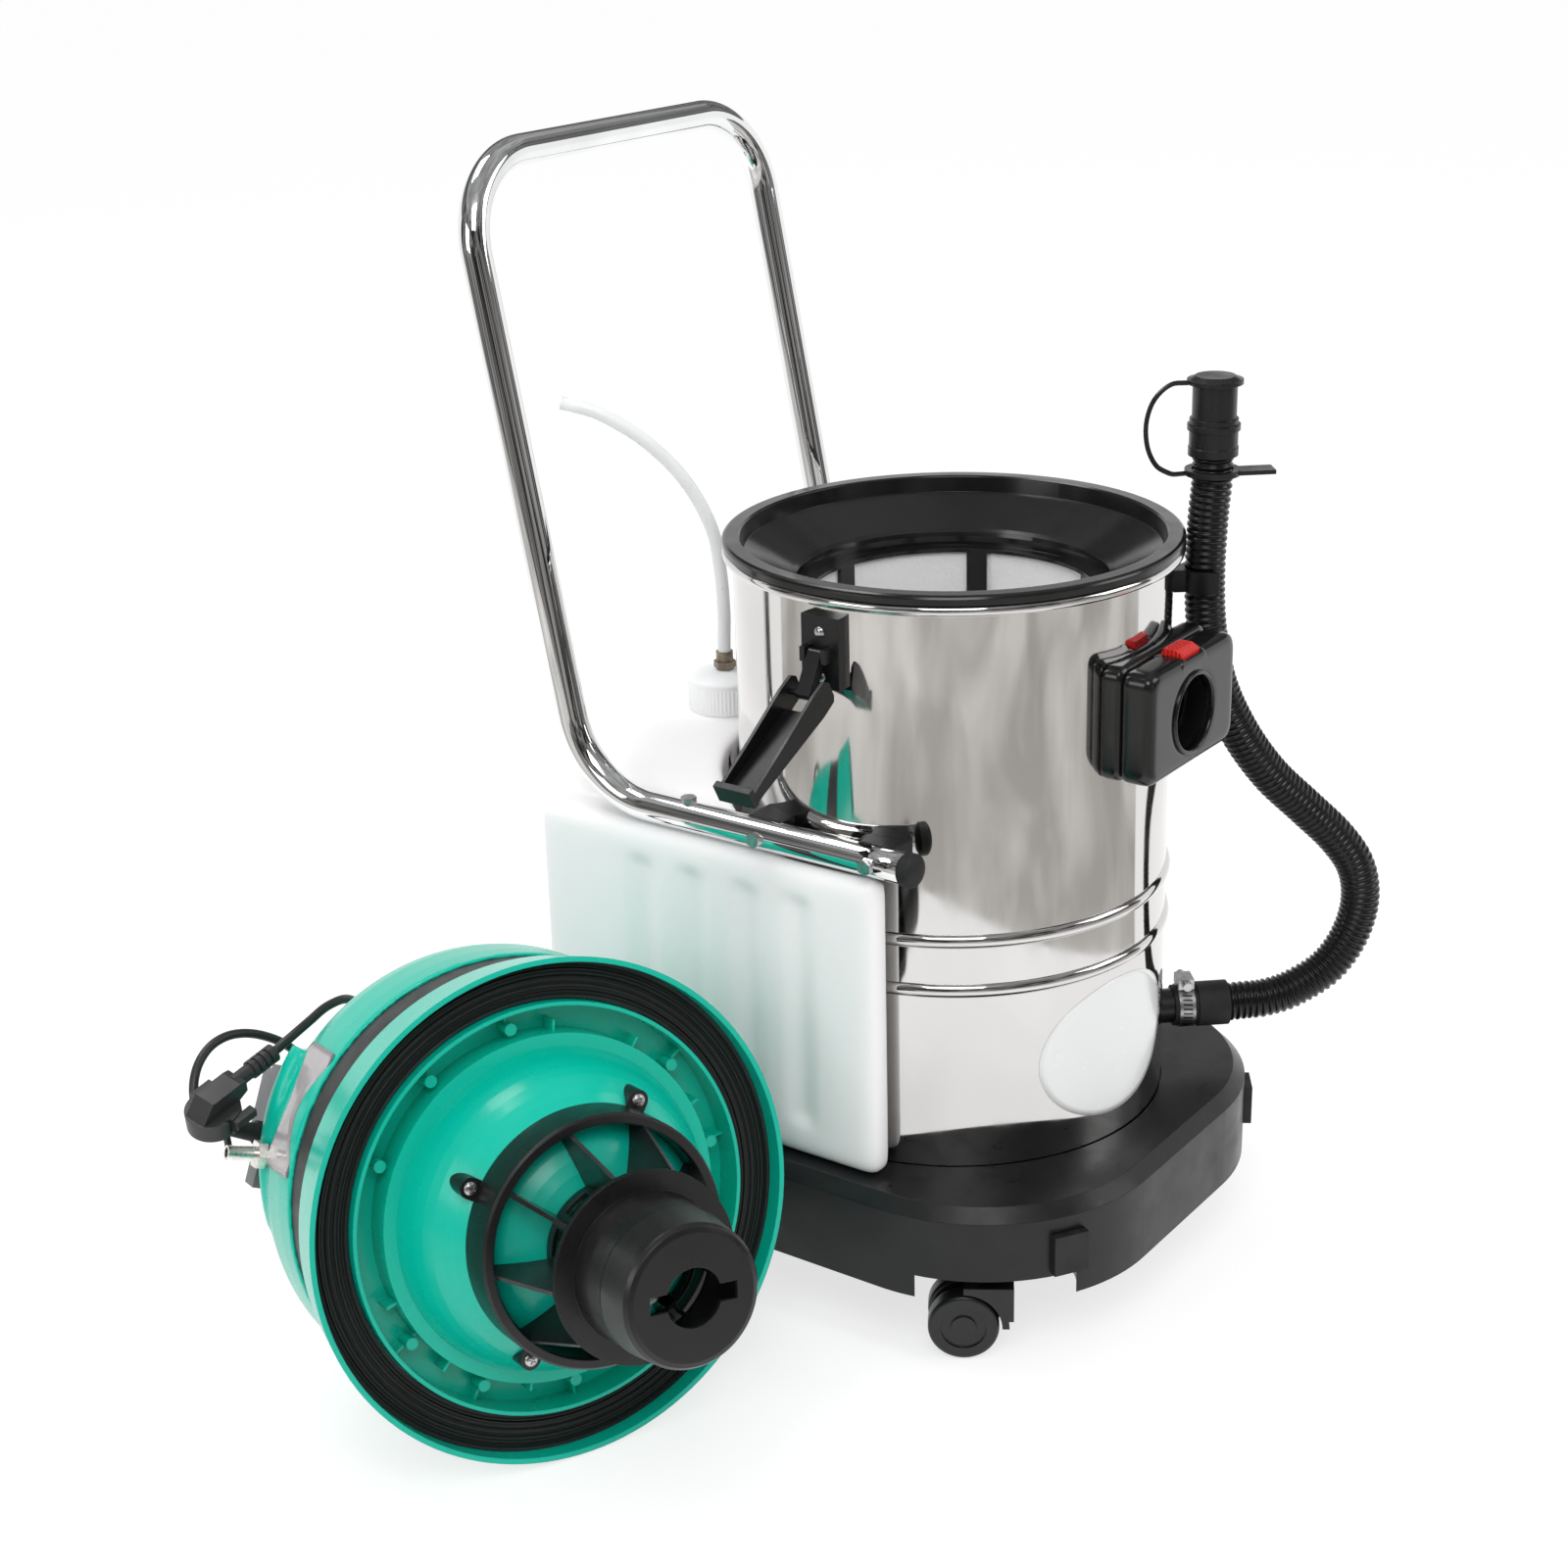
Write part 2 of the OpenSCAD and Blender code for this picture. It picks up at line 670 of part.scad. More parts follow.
module drain_spout() {
    color("#b9bcbf") at_drain() difference() {
        union() {
            translate([0, 0, drum_r - 6]) cylinder(r = spout_r, h = spout_end - drum_r + 6);
            translate([0, 0, drum_r - 12]) cylinder(r = spout_r + 4, h = 6);
        }
        translate([0, 0, drum_r - 20]) cylinder(r = drain_bore_r, h = 100);
    }
}

module hose_cuff_lower() {
    color("#17171a") at_drain() difference() {
        union() {
            translate([0, 0, cuff_start]) cylinder(r = cuff_r - 1.5, h = cuff_end - cuff_start - 22);
            translate([0, 0, cuff_end - 24]) cylinder(r = cuff_r, h = 24);
        }
        translate([0, 0, cuff_start - 1]) cylinder(r = spout_r, h = spout_end - cuff_start + 1);
        translate([0, 0, cuff_start - 1]) cylinder(r = drain_bore_r, h = 100);
    }
}

// Worm-drive clamp round the cuff
module hose_clamp() {
    color("#c2c5c8") at_drain() {
        difference() {
            translate([0, 0, clamp_at]) cylinder(r = cuff_r - 0.4, h = 12);
            translate([0, 0, clamp_at - 1]) cylinder(r = cuff_r - 1.5, h = 14);
        }
        translate([-cuff_r - 7, -8, clamp_at]) cube([8, 16, 12]);
        translate([-cuff_r - 3, 0, clamp_at + 6]) rotate([90, 0, 0])
            cylinder(r = 3.4, h = 26, center = true);
    }
}

// Route of the corrugated hose, from the lower cuff to the upper one
hose_route = [
    [137, -158, 160], [146, -168, 160.5], [157, -180.5, 161.5], [171, -196, 167.5], [187.5, -215.5, 184],
    [198.5, -228, 209], [203, -233, 238], [199.5, -229.5, 266], [188, -217.5, 291], [170, -199.5, 317],
    [149, -180, 346], [130, -164, 381], [115.5, -152, 420], [109, -145.2, 462], [107.5, -143, 502],
    [108, -143.8, 545], [109, -145.4, 575], [109, -145.4, 590]
];
hose_top = hose_route[len(hose_route) - 1];
hose_line = fine_line(hose_route, 6);

module drain_hose() {
    color("#141416") place()
        ribbed_tube(hose_line, hose_ribs, hose_r, hose_r - 1.7, drain_bore_r, 8);
}

// Upper cuff, standing on the end of the hose
cuff_top = 50;

module at_hose_top() {
    place() translate(hose_top) children();
}

module hose_cuff_upper() {
    color("#19191c") at_hose_top() difference() {
        union() {
            cylinder(r = cuff_r + 0.5, h = 6);
            translate([0, 0, 6]) cylinder(r = cuff_r, h = 20);
            translate([0, 0, 26]) cylinder(r = cuff_r - 1.5, h = cuff_top - 26);
            translate([0, 0, 18]) cylinder(r = cuff_r + 1.5, h = 4);
        }
        translate([0, 0, -1]) cylinder(r = drain_bore_r, h = cuff_top + 2);
    }
}

// Plug cap with its spigot in the cuff
module hose_cap() {
    color("#131315") at_hose_top() {
        translate([0, 0, cuff_top - 14]) cylinder(r = drain_bore_r - run_gap, h = 14.3);
        translate([0, 0, cuff_top + seat_gap]) cylinder(r = cuff_r + 2.5, h = 3);
        translate([0, 0, cuff_top + seat_gap + 3]) cylinder(r1 = cuff_r + 1, r2 = cuff_r - 3, h = 2.5);
    }
}

// Strap that ties the cap to a ring round the hose
strap_ring_z = -14;
strap_line = fine_line([
    [-15.4, 12.9, 51.9], [-21.5, 17.8, 52.4], [-29, 24.2, 49], [-35.5, 29.7, 39.5], [-38.5, 32.4, 25],
    [-37.5, 31.4, 9], [-32.5, 27.5, -4], [-26, 22, -10], [-21, 17.6, -12], [-14, 11.8, -12]
], 4);

module hose_cap_strap() {
    color("#131315") at_hose_top() {
        difference() {
            union() {
                translate([0, 0, strap_ring_z]) cylinder(r = hose_r + 5, h = 4);
                translate([4, -6, strap_ring_z]) rotate([0, 0, -50]) translate([0, -8, 0])
                    cube([36, 16, 3]);
            }
            translate([0, 0, strap_ring_z - 1]) cylinder(r = hose_r + 0.2, h = 8);
        }
        swept_rod(strap_line, 1.8, 8);
    }
}

// Spring clip on the drum that holds the hose upright
clip_z = rim_z - 42;
clip_at = [108.1, -144];

module hose_clip() {
    a = atan2(clip_at.y, clip_at.x);
    d = norm(clip_at);
    color("#18181b") place() difference() {
        union() {
            translate([clip_at.x, clip_at.y, clip_z]) cylinder(r = hose_r + 4, h = 16);
            rotate([0, 0, a]) translate([drum_r - 3, -9, clip_z])
                cube([d - drum_r - hose_r + 5, 18, 16]);
        }
        cylinder(r = drum_r, h = rim_z + 20, $fn = 128);
        translate([clip_at.x, clip_at.y, clip_z - 10]) cylinder(r = hose_r + 1.1, h = 40);
        rotate([0, 0, a]) translate([d + 6, -50, clip_z - 10]) cube([40, 100, 40]);
    }
}

// ---------------------------------------------------------------- push handle

// Centre line of the right half of the handle, from the arm end to the middle of the top bar
heel_run = heel_r * tan((90 - lean) / 2);
bend_steps = 8;
rise_dir = [0, sin(lean), cos(lean)];
heel_corner = [arm_x, heel_y, arm_z];
crown_corner = heel_corner + upright_len * rise_dir;
handle_right = [
    [arm_x, arm_front, arm_z],
    for (k = [0 : bend_steps]) let (a = (90 - lean) * k / bend_steps)
        heel_corner + [0, heel_r * sin(a) - heel_run, heel_r * (1 - cos(a))],
    for (k = [0 : bend_steps]) let (a = 90 * k / bend_steps)
        crown_corner + [-crown_r * (1 - cos(a)), 0, 0] - crown_r * (1 - sin(a)) * rise_dir
];
handle_line = concat(handle_right, [for (i = [len(handle_right) - 1 : -1 : 0])
    [-handle_right[i].x, handle_right[i].y, handle_right[i].z]]);

module handle_tube() {
    color("#cfd1d3") place()
        hollow_tube(handle_line, tube_r, tube_r - tube_wall, 20, [1, 0, 0]);
}

cap_proud = 12;

module handle_end_caps() {
    color("#1a1a1c") place() both_sides() translate([arm_x, arm_front, arm_z]) rotate([90, 0, 0]) {
        translate([0, 0, -14]) cylinder(r = tube_r - tube_wall - seat_gap, h = 14);
        rotate_extrude() intersection() {
            union() {
                square([tube_r + 0.8, cap_proud - 6]);
                translate([0, cap_proud - 6]) dome_quarter(tube_r + 0.8, 6);
            }
            square([30, 30]);
        }
    }
}

// Quarter outline of a flat dome of radius r and height h
module dome_quarter(r, h) {
    polygon([[0, 0], for (a = [0 : 7.5 : 90]) [r * cos(a), h * sin(a)]]);
}

bolt_y = [-44, 48];
top_bolt_y = 113;
bolt_r = 5.6;

module bolt_head(h) {
    cylinder(r = bolt_r, h = h, $fn = 6);
    translate([0, 0, -h]) cylinder(r = bolt_r - 2.4, h = h);
}

module handle_bolts() {
    color("#b8bbbe") place() both_sides() {
        for (y = bolt_y) translate([arm_x + tube_r - 0.4, y, arm_z]) rotate([0, 90, 0]) bolt_head(4);
        translate([arm_x, top_bolt_y, arm_z + tube_r - 0.4]) bolt_head(4);
    }
}

// Blocks that carry the arms on the drum
module handle_spacers() {
    color("#1a1a1c") place() both_sides() difference() {
        for (y = bolt_y) translate([drum_r - 22, y - 14, arm_z - tube_r])
            cube([arm_x - drum_r + 22, 28, 2 * tube_r]);
        cylinder(r = drum_r, h = rim_z, $fn = 128);
        translate([arm_x, arm_front - 1, arm_z]) rotate([-90, 0, 0]) cylinder(r = tube_r, h = 200);
    }
}

// ---------------------------------------------------------------- solution tank

tank_z = base_top_z;
tank_in_r = drum_r + tank_drum_gap;
tank_front = -50;
cap_at = [0, 205];
flute_y = [14, 58, 105, 150];
shoulder_x = arm_x - tube_r - 8;
tank_edge = 9;
shoulder_edge = 18;

// Block between two corners with every edge rounded
module soft_block(x0, x1, y0, y1, z0, z1, r) {
    dx = x1 - x0 - 2 * r;
    dy = y1 - y0 - 2 * r;
    dz = z1 - z0 - 2 * r;
    translate([x0 + r, y0 + r, z0]) cube([dx, dy, dz + 2 * r]);
    translate([x0 + r, y0, z0 + r]) cube([dx, dy + 2 * r, dz]);
    translate([x0, y0 + r, z0 + r]) cube([dx + 2 * r, dy, dz]);
    for (x = [x0 + r, x1 - r], y = [y0 + r, y1 - r]) translate([x, y, z0 + r]) cylinder(r = r, h = dz);
    for (z = [z0 + r, z1 - r]) {
        for (x = [x0 + r, x1 - r]) translate([x, y0 + r, z]) rotate([-90, 0, 0]) cylinder(r = r, h = dy);
        for (y = [y0 + r, y1 - r]) translate([x0 + r, y, z]) rotate([0, 90, 0]) cylinder(r = r, h = dx);
        for (x = [x0 + r, x1 - r], y = [y0 + r, y1 - r]) translate([x, y, z]) sphere(r);
    }
}

module solution_tank() {
    t = tank_half_w;
    w = tank_wall + 2;
    color("#f4f5f5") place() difference() {
        union() {
            soft_block(-t, t, tank_front, tank_rear, tank_z, tank_low_z, tank_edge);
            soft_block(-shoulder_x, shoulder_x, 60, tank_rear - 1, tank_z + 60, tank_high_z, shoulder_edge);
            translate([cap_at.x, cap_at.y, tank_high_z - 5]) cylinder(r = cap_r - 4, h = 9);
        }
        translate([0, 0, tank_z - 1]) cylinder(r = tank_in_r, h = 400, $fn = 128);
        difference() {
            union() {
                translate([-t + w, tank_front + w, tank_z + w])
                    cube([2 * (t - w), tank_rear - tank_front - 2 * w, tank_low_z - tank_z - 2 * w]);
                translate([-shoulder_x + 8, 60, tank_z + 70])
                    cube([2 * (shoulder_x - 8), tank_rear - 60 - 9, tank_high_z - tank_z - 70 - 8]);
            }
            translate([0, 0, tank_z - 1]) cylinder(r = tank_in_r + tank_wall, h = 400, $fn = 128);
        }
        translate([cap_at.x, cap_at.y, tank_high_z - 20]) cylinder(r = cap_r - 9, h = 40);
        both_sides() for (y = flute_y) translate([t + 5.5, y, tank_z + 28])
            cylinder(r = 7, h = tank_low_z - tank_z - 56, $fn = 32);
    }
}

neck_top = tank_high_z + 4;
fitting_r = 6.5;
cap_h = 27;

// Screw cap, turning round the fitting
module tank_cap() {
    color("#f0f1f1") place() translate([cap_at.x, cap_at.y, neck_top + seat_gap]) difference() {
        union() {
            translate([0, 0, -3]) rotate_extrude() {
                square([cap_r, cap_h - 4]);
                translate([0, cap_h - 4]) dome_quarter(cap_r, 7);
            }
        }
        translate([0, 0, -4]) cylinder(r = cap_r - 4 + seat_gap, h = 4);
        translate([0, 0, -1]) cylinder(r = cap_r - 7, h = cap_h - 7);
        translate([0, 0, -5]) cylinder(r = fitting_r + run_gap, h = 60);
    }
}

cap_top_z = neck_top + seat_gap - 3 + cap_h + 3;

// Hose fitting with a flange under the cap
module tank_fitting() {
    top = cap_top_z + 14;
    color("#9b8f78") place() translate([cap_at.x, cap_at.y, 0]) difference() {
        union() {
            translate([0, 0, neck_top - 10]) cylinder(r = fitting_r, h = top - neck_top + 10);
            translate([0, 0, neck_top]) cylinder(r = cap_r - 8, h = 2.5);
            translate([0, 0, cap_top_z + 1.5]) cylinder(r = fitting_r + 2, h = 5, $fn = 6);
        }
        translate([0, 0, neck_top - 20]) cylinder(r = solution_tube_d / 2, h = 80);
    }
}

module tank_dip_tube() {
    color("#e6e8e8") place() translate([cap_at.x, cap_at.y, tank_z + 12]) difference() {
        cylinder(r = solution_tube_d / 2, h = neck_top + 2 - tank_z - 12);
        translate([0, 0, -1]) cylinder(r = solution_tube_d / 2 - 1.5, h = 400);
    }
}

// Stiff clear tube that springs out of the fitting and ends bare
solution_route = [
    [0, 205, 385], [0, 205, 412], [0, 205, 425], [1, 205, 448], [1, 207, 480], [-3, 211, 514],
    [-13, 226, 550], [-27, 249, 579], [-42, 273, 598], [-52, 290, 606], [-60, 303, 610]
];
solution_line = fine_line(solution_route, 3);

module solution_tube() {
    color("#eceeee") place() swept_rod(solution_line, solution_tube_d / 2, 12, [1, 0, 0]);
}

// ---------------------------------------------------------------- latches

pin_r = 2;
plate_h = 50;
plate_w = 30;
latch_screw_z = [pin_z + 14, pin_z - 17];

// Bracket on the drum with two ears for the link pin
module latch_plate(side) {
    color("#161618") place() on_side(side) difference() {
        union() {
            translate([drum_r - 8, latch_y - plate_w / 2, pin_z - plate_h / 2])
                cube([latch_plate_x - drum_r + 8, plate_w, plate_h]);
            for (s = [-1, 1]) translate([latch_plate_x - 1, latch_y + s * 8.5 - 2, pin_z - 5])
                cube([10, 4, 10]);
        }
        cylinder(r = drum_r, h = rim_z + 10, $fn = 128);
        translate([pin_x, latch_y, pin_z]) rotate([90, 0, 0])
            cylinder(r = pin_r + run_gap, h = 60, center = true);
    }
}

// Link with its two pins, hanging from the bracket
module latch_link(side) {
    color("#161618") place() on_side(side) {
        link_bar();
        for (p = [[pin_x, pin_z], [lever_pivot_x, lever_pivot_z]])
            translate([p.x, latch_y, p.y]) rotate([90, 0, 0])
                cylinder(r = pin_r, h = p.x == pin_x ? 21 : 29, center = true);
    }
}

// Straight bar with round ends between the two link pins
module link_bar() {
    bar = 3.6;
    translate([pin_x, latch_y, pin_z]) rotate([0, 61, 0]) {
        translate([0, -5.5, -bar]) cube([link_len, 11, 2 * bar]);
        for (x = [0, link_len]) translate([x, 0, 0]) rotate([90, 0, 0])
            cylinder(r = bar, h = 11, center = true);
    }
}

// Channel-shaped lever, pulled outward and down
module latch_lever(side) {
    n = lever_pivot_in;
    color("#161618") place() on_side(side) translate([lever_pivot_x, latch_y, lever_pivot_z])
        rotate([0, lever_droop, 0]) difference() {
            union() {
                for (s = [-1, 1]) translate([0, s * 13.2 + 1.25, 0]) rotate([90, 0, 0])
                    linear_extrude(2.5) polygon([
                        [-n, -7], [-n, 5], [-n + 4, 9], [8, 9], [50, 4], [lever_len - n, 0],
                        [lever_len - n, -7], [60, -9], [6, -12], [-n + 2, -11]
                    ]);
                translate([10, -13.5, lever_web]) cube([lever_len - n - 14, 27, 2.5]);
                translate([lever_len - n - 5, -14.5, lever_web]) cube([5, 29, lever_lip]);
            }
            rotate([90, 0, 0]) cylinder(r = pin_r + run_gap, h = 60, center = true);
        }
}

module latch_screws() {
    color("#c6c9cb") place() both_sides() for (z = latch_screw_z)
        translate([latch_plate_x, latch_y, z]) rotate([0, 90, 0]) rotate_extrude()
            dome_quarter(4, 2.4);
}

// ---------------------------------------------------------------- motor head

dome_z = -head_skirt_h - band_h;
dome_shift = [-4.6, -3, 0];
dome_straight = 20;
panel_az = 247;
pod_r = 148.5;
pod_shift = 19.3;
pod_shift_az = 203.3;

// Outline of the dome, drawn in by a wall
function dome_outline(inset) = [
    [0, dome_z],
    [dome_r - inset, dome_z],
    for (a = [0 : 7.5 : 90])
        [(dome_r - inset) * pow(cos(a), 0.72), dome_z - dome_straight
            - (head_depth + dome_z - dome_straight - inset) * pow(sin(a), 0.72)]
];

module dome_solid(inset) {
    translate(dome_shift) rotate_extrude($fn = 128) polygon(dome_outline(inset));
}

// Box in the head frame, set out along a compass direction of the head
module head_block(az, r0, r1, half_w, z0, z1) {
    rotate([0, 0, az]) translate([r0, -half_w, z0]) cube([r1 - r0, 2 * half_w, z1 - z0]);
}

// Shoulder on the flank of the dome, about an axis of its own, running out into the dome
module pod_form(inset) {
    rotate([0, 0, pod_shift_az]) translate([pod_shift, 0, 0]) rotate([0, 0, 24.7])
        rotate_extrude(angle = 50, $fn = 128) polygon([
            [120, -112], [pod_r - 9, -118], [pod_r - 3 - inset, -120], [pod_r - inset, -125],
            [pod_r - inset, -131], [pod_r - 5 - inset, -139], [pod_r - 14 - inset, -147], [120, -152]
        ]);
}

panel_out = 152;
panel_half_w = 41;
panel_z0 = -178;
panel_step_z = -164;
panel_z1 = -148;
rocker_r = 135;
rocker_u = [-23.5, 1.5];
barb_az = 251.5;
barb_z = -122;
barb_r = 5;
barb_root_r = 4.4;
barb_root = 149;
barb_end = 186;

module head_dome() {
    color("#2fb98f") at_head() difference() {
        union() {
            dome_solid(0);
            pod_form(0);
        }
        translate([0, 0, eps]) dome_solid(head_wall);
        rotate([0, 0, barb_az]) translate([0, 0, barb_z]) rotate([0, 90, 0]) {
            cylinder(r = barb_root_r + seat_gap, h = 200);
            translate([0, 0, 160]) cylinder(r = nut_r + seat_gap, h = 20);
        }
    }
}

// Black band in the groove between the dome and the skirt
band_r = 153;

module head_band() {
    color("#2c2d2f") at_head() translate([dome_shift.x, dome_shift.y, dome_z]) difference() {
        cylinder(r = band_r, h = band_h, $fn = 128);
        translate([0, 0, -1]) cylinder(r = band_r - 11, h = band_h + 2, $fn = 128);
    }
}

gasket_in = 140;
gasket_out = 165;
gasket_face = -12.5;
gasket_back = -20;
inner_lip_r = 138.7;
channel_in = 117.5;
channel_z = -30;
step_in = 108.8;
bowl_hole_r = 34;
bowl_ball_r = 111.2;
bowl_ball_z = -31;
collar_r = 136;
boss_az = [1, 95, 125, 184, 213, 242, 301, 330];
gusset_az = [79.5, 110, 140.6, 170, 286.5, 315, 345.7];

// Arc of the bowl from its foot to its hole, drawn in by a wall
function bowl_arc(inset) =
    let (b = bowl_ball_r - inset, t0 = asin(sqrt(b * b - pow(-8 - inset - bowl_ball_z, 2)) / b),
         t1 = asin(bowl_hole_r / b))
    [for (k = [0 : 14]) let (t = t0 + (t1 - t0) * k / 14) [b * sin(t), bowl_ball_z + b * cos(t)]];
function flipped(list) = [for (i = [len(list) - 1 : -1 : 0]) list[i]];

// Green housing: skirt, gasket seat, ribbed channel and the bowl that carries the cage
module head_lower_housing() {
    w = head_wall;
    color("#2fb98f") at_head() {
        rotate_extrude($fn = 128) polygon([
            [skirt_r - 3.6, 0], [skirt_r, 0], [skirt_r - skirt_taper, -head_skirt_h],
            [collar_r, -head_skirt_h], [collar_r, -head_skirt_h - 6],
            [collar_r - 3, -head_skirt_h - 6],
            [collar_r - 3, channel_z - w], [channel_in - 1 - w, channel_z - w],
            [channel_in - 1 - w, -8 - w],
            each bowl_arc(w),
            each flipped(bowl_arc(0)),
            [channel_in, -8], [channel_in, channel_z], [inner_lip_r - 2.7, channel_z],
            [inner_lip_r - 2.7, -6], [inner_lip_r, -6], [inner_lip_r, gasket_back],
            [gasket_out + 0.2, gasket_back]
        ]);
        for (a = boss_az) rotate([0, 0, a]) {
            translate([124, 0, channel_z - 0.5]) cylinder(r = 4.2, h = 15.5, $fn = 32);
            translate([116, -0.9, channel_z - 0.5]) cube([20.5, 1.8, 9]);
        }
        for (a = gusset_az) rotate([0, 0, a]) translate([117, -0.9, channel_z - 0.5]) cube([8, 1.8, 16]);
    }
}

module head_gasket() {
    color("#141416") at_head() rotate_extrude($fn = 128) difference() {
        translate([gasket_in, gasket_back]) square([gasket_out - gasket_in, gasket_face - gasket_back]);
        for (k = [0 : 3]) translate([gasket_in + 4.2 + k * 5, gasket_face - 1.2]) square([1.4, 3]);
    }
}

mid_flange_r = 61.4;
mid_flange_z = cage_tip - 67.3;
cup_z = mid_flange_z + 4;
cup_r = 49;
slot_az = 84;
cage_bore_r = 38.5;
screw_az = [57, 147.4, 236.1, 325.6];
lug_r = 88.5;
lug_z = 44;
ring_top = 72;
vane_az = 30.3;

// Cage: base ring on the bowl, vanes, flange and the slotted cup that the float rises in
module float_cage() {
    color("#151517") at_head() difference() {
        union() {
            rotate_extrude($fn = 128) polygon([
                [cage_r, 38], [cage_r, ring_top - 1.5], [cage_r - 1.5, ring_top],
                [cage_r - 6.5, ring_top], [cage_r - 8, ring_top - 2], [cage_r - 8.5, 38]
            ]);
            for (k = [0 : cage_vanes - 1]) rotate([0, 0, k * 360 / cage_vanes + vane_az])
                rotate([90, 0, 0]) translate([0, 0, -1.5]) linear_extrude(3) polygon([
                    [cage_r - 5, 40], [cage_r - 5, ring_top - 6], [mid_flange_r - 2, mid_flange_z + 1],
                    [cage_bore_r + 1, mid_flange_z + 1], [cage_bore_r + 1, 60]
                ]);
            translate([0, 0, mid_flange_z]) cylinder(r = mid_flange_r, h = 4);
            difference() {
                translate([0, 0, 60]) cylinder(r = cage_bore_r + 2.5, h = mid_flange_z - 59);
                for (k = [0 : cage_vanes - 1]) rotate([0, 0, (k + 0.5) * 360 / cage_vanes + vane_az])
                    translate([30, -9, ring_top + 8]) cube([20, 18, mid_flange_z - ring_top - 18]);
            }
            rotate_extrude() polygon([
                [0, cup_z - 1], [cup_r, cup_z - 1], [cup_r - 2.5, cup_z + 31], [cup_r - 2.5, cup_z + 33],
                [cup_r - 1.5, cup_z + 34], [cup_r - 4, cage_tip - 4], [cup_r - 6, cage_tip - 1.2],
                [cup_r - 9, cage_tip], [0, cage_tip]
            ]);
            for (a = screw_az) rotate([0, 0, a]) {
                translate([cage_r - 2, -7, 22]) cube([lug_r - cage_r + 2, 14, lug_z - 22]);
                translate([lug_r, 0, 22]) cylinder(r = 7, h = lug_z - 22);
            }
        }
        translate([0, 0, bowl_ball_z]) sphere(bowl_ball_r + seat_gap, $fn = 180);
        translate([0, 0, 50]) cylinder(r = cage_bore_r, h = mid_flange_z - 54);
        rotate_extrude() polygon([
            [0, mid_flange_z - 8], [cup_r - 4, mid_flange_z - 8], [cup_r - 5.5, cup_z + 30],
            [cup_r - 7, cage_tip - 7], [cup_r - 10, cage_tip - 3], [0, cage_tip - 3]
        ]);
        translate([0, 0, cage_tip - 10]) {
            cylinder(r = 18.5, h = 20);
            rotate([0, 0, slot_az]) translate([-29, -5.5, 0]) cube([58, 11, 20]);
        }
    }
}

// Posts of the bowl carry the cage lugs; the screws go through them
module cage_screws() {
    color("#c4c7c9") at_head() for (a = screw_az) rotate([0, 0, a]) translate([lug_r, 0, lug_z])
        difference() {
            rotate_extrude() dome_quarter(4.6, 2.8);
            for (q = [0, 90]) rotate([0, 0, q]) translate([-2.4, -0.5, 1.4]) cube([4.8, 1, 3]);
        }
}

float_r = cage_bore_r - seat_gap;
float_z = bowl_ball_z + sqrt(pow(bowl_ball_r, 2) - pow(bowl_hole_r, 2))
        + sqrt(pow(float_r, 2) - pow(bowl_hole_r, 2)) + seat_gap;

module float_ball() {
    color("#1c1c1e") at_head() translate([0, 0, float_z]) rotate_extrude() {
        intersection() {
            circle(float_r);
            translate([0, -float_r]) square([float_r, 2 * float_r]);
        }
    }
}

// ---------------------------------------------------------------- inside the head

motor_r = 62;
motor_z0 = -150;
motor_z1 = -12;
shaft_r = 5;
fan_r = 52;

module motor_body() {
    color("#8f9296") at_head() difference() {
        union() {
            translate([0, 0, motor_z0]) cylinder(r = motor_r - 12, h = 80);
            translate([0, 0, motor_z0 + 76]) cylinder(r = motor_r, h = motor_z1 - motor_z0 - 76);
            translate([0, 0, motor_z1 - 8])
                cylinder(r = channel_in - 1 - head_wall - seat_gap, h = 5);
        }
        translate([0, 0, motor_z0 + 80]) cylinder(r = fan_r + 4, h = motor_z1 - motor_z0 - 84);
        translate([0, 0, motor_z0 - 1]) cylinder(r = shaft_r + run_gap, h = 90);
        translate([0, 0, motor_z1 - 10]) cylinder(r = 26, h = 20);
        translate([0, 0, motor_z0 + 12]) cylinder(r = motor_r - 18, h = 56);
    }
}

module motor_rotor() {
    color("#b0b3b6") at_head() {
        translate([0, 0, motor_z0 - 6]) cylinder(r = shaft_r, h = motor_z1 - motor_z0 - 10);
        translate([0, 0, motor_z0 + 18]) cylinder(r = motor_r - 24, h = 44);
        translate([0, 0, motor_z0 + 86]) cylinder(r = fan_r, h = 3);
        translate([0, 0, motor_z0 + 104]) cylinder(r = fan_r, h = 2);
        for (k = [0 : 8]) rotate([0, 0, k * 40]) translate([12, -1, motor_z0 + 86])
            cube([fan_r - 14, 2, 20]);
    }
}

// Solution pump on the inside of the motor flange
module pump_body() {
    color("#3a3b3e") at_head() rotate([0, 0, 100]) translate([86, 0, 0]) {
        translate([0, 0, motor_z1 - 48]) cylinder(r = 17, h = 40);
        translate([0, 0, motor_z1 - 66]) cylinder(r = 13, h = 19);
    }
}

// ---------------------------------------------------------------- outside the head

nut_r = 9.8;

module hose_barb() {
    color("#c3c0b6") at_head() rotate([0, 0, barb_az]) translate([0, 0, barb_z]) rotate([0, 90, 0])
        difference() {
            union() {
                translate([0, 0, barb_root]) cylinder(r = barb_root_r, h = 162 - barb_root);
                translate([0, 0, 161]) cylinder(r = barb_r, h = barb_end - 161);
                translate([0, 0, 160]) cylinder(r = nut_r, h = 6.5, $fn = 6);
            }
            translate([0, 0, barb_root - 4]) cylinder(r = barb_r - 1.6, h = 80);
        }
}

gland_z = -155;
gland_u = 5;
gland_len = 26;

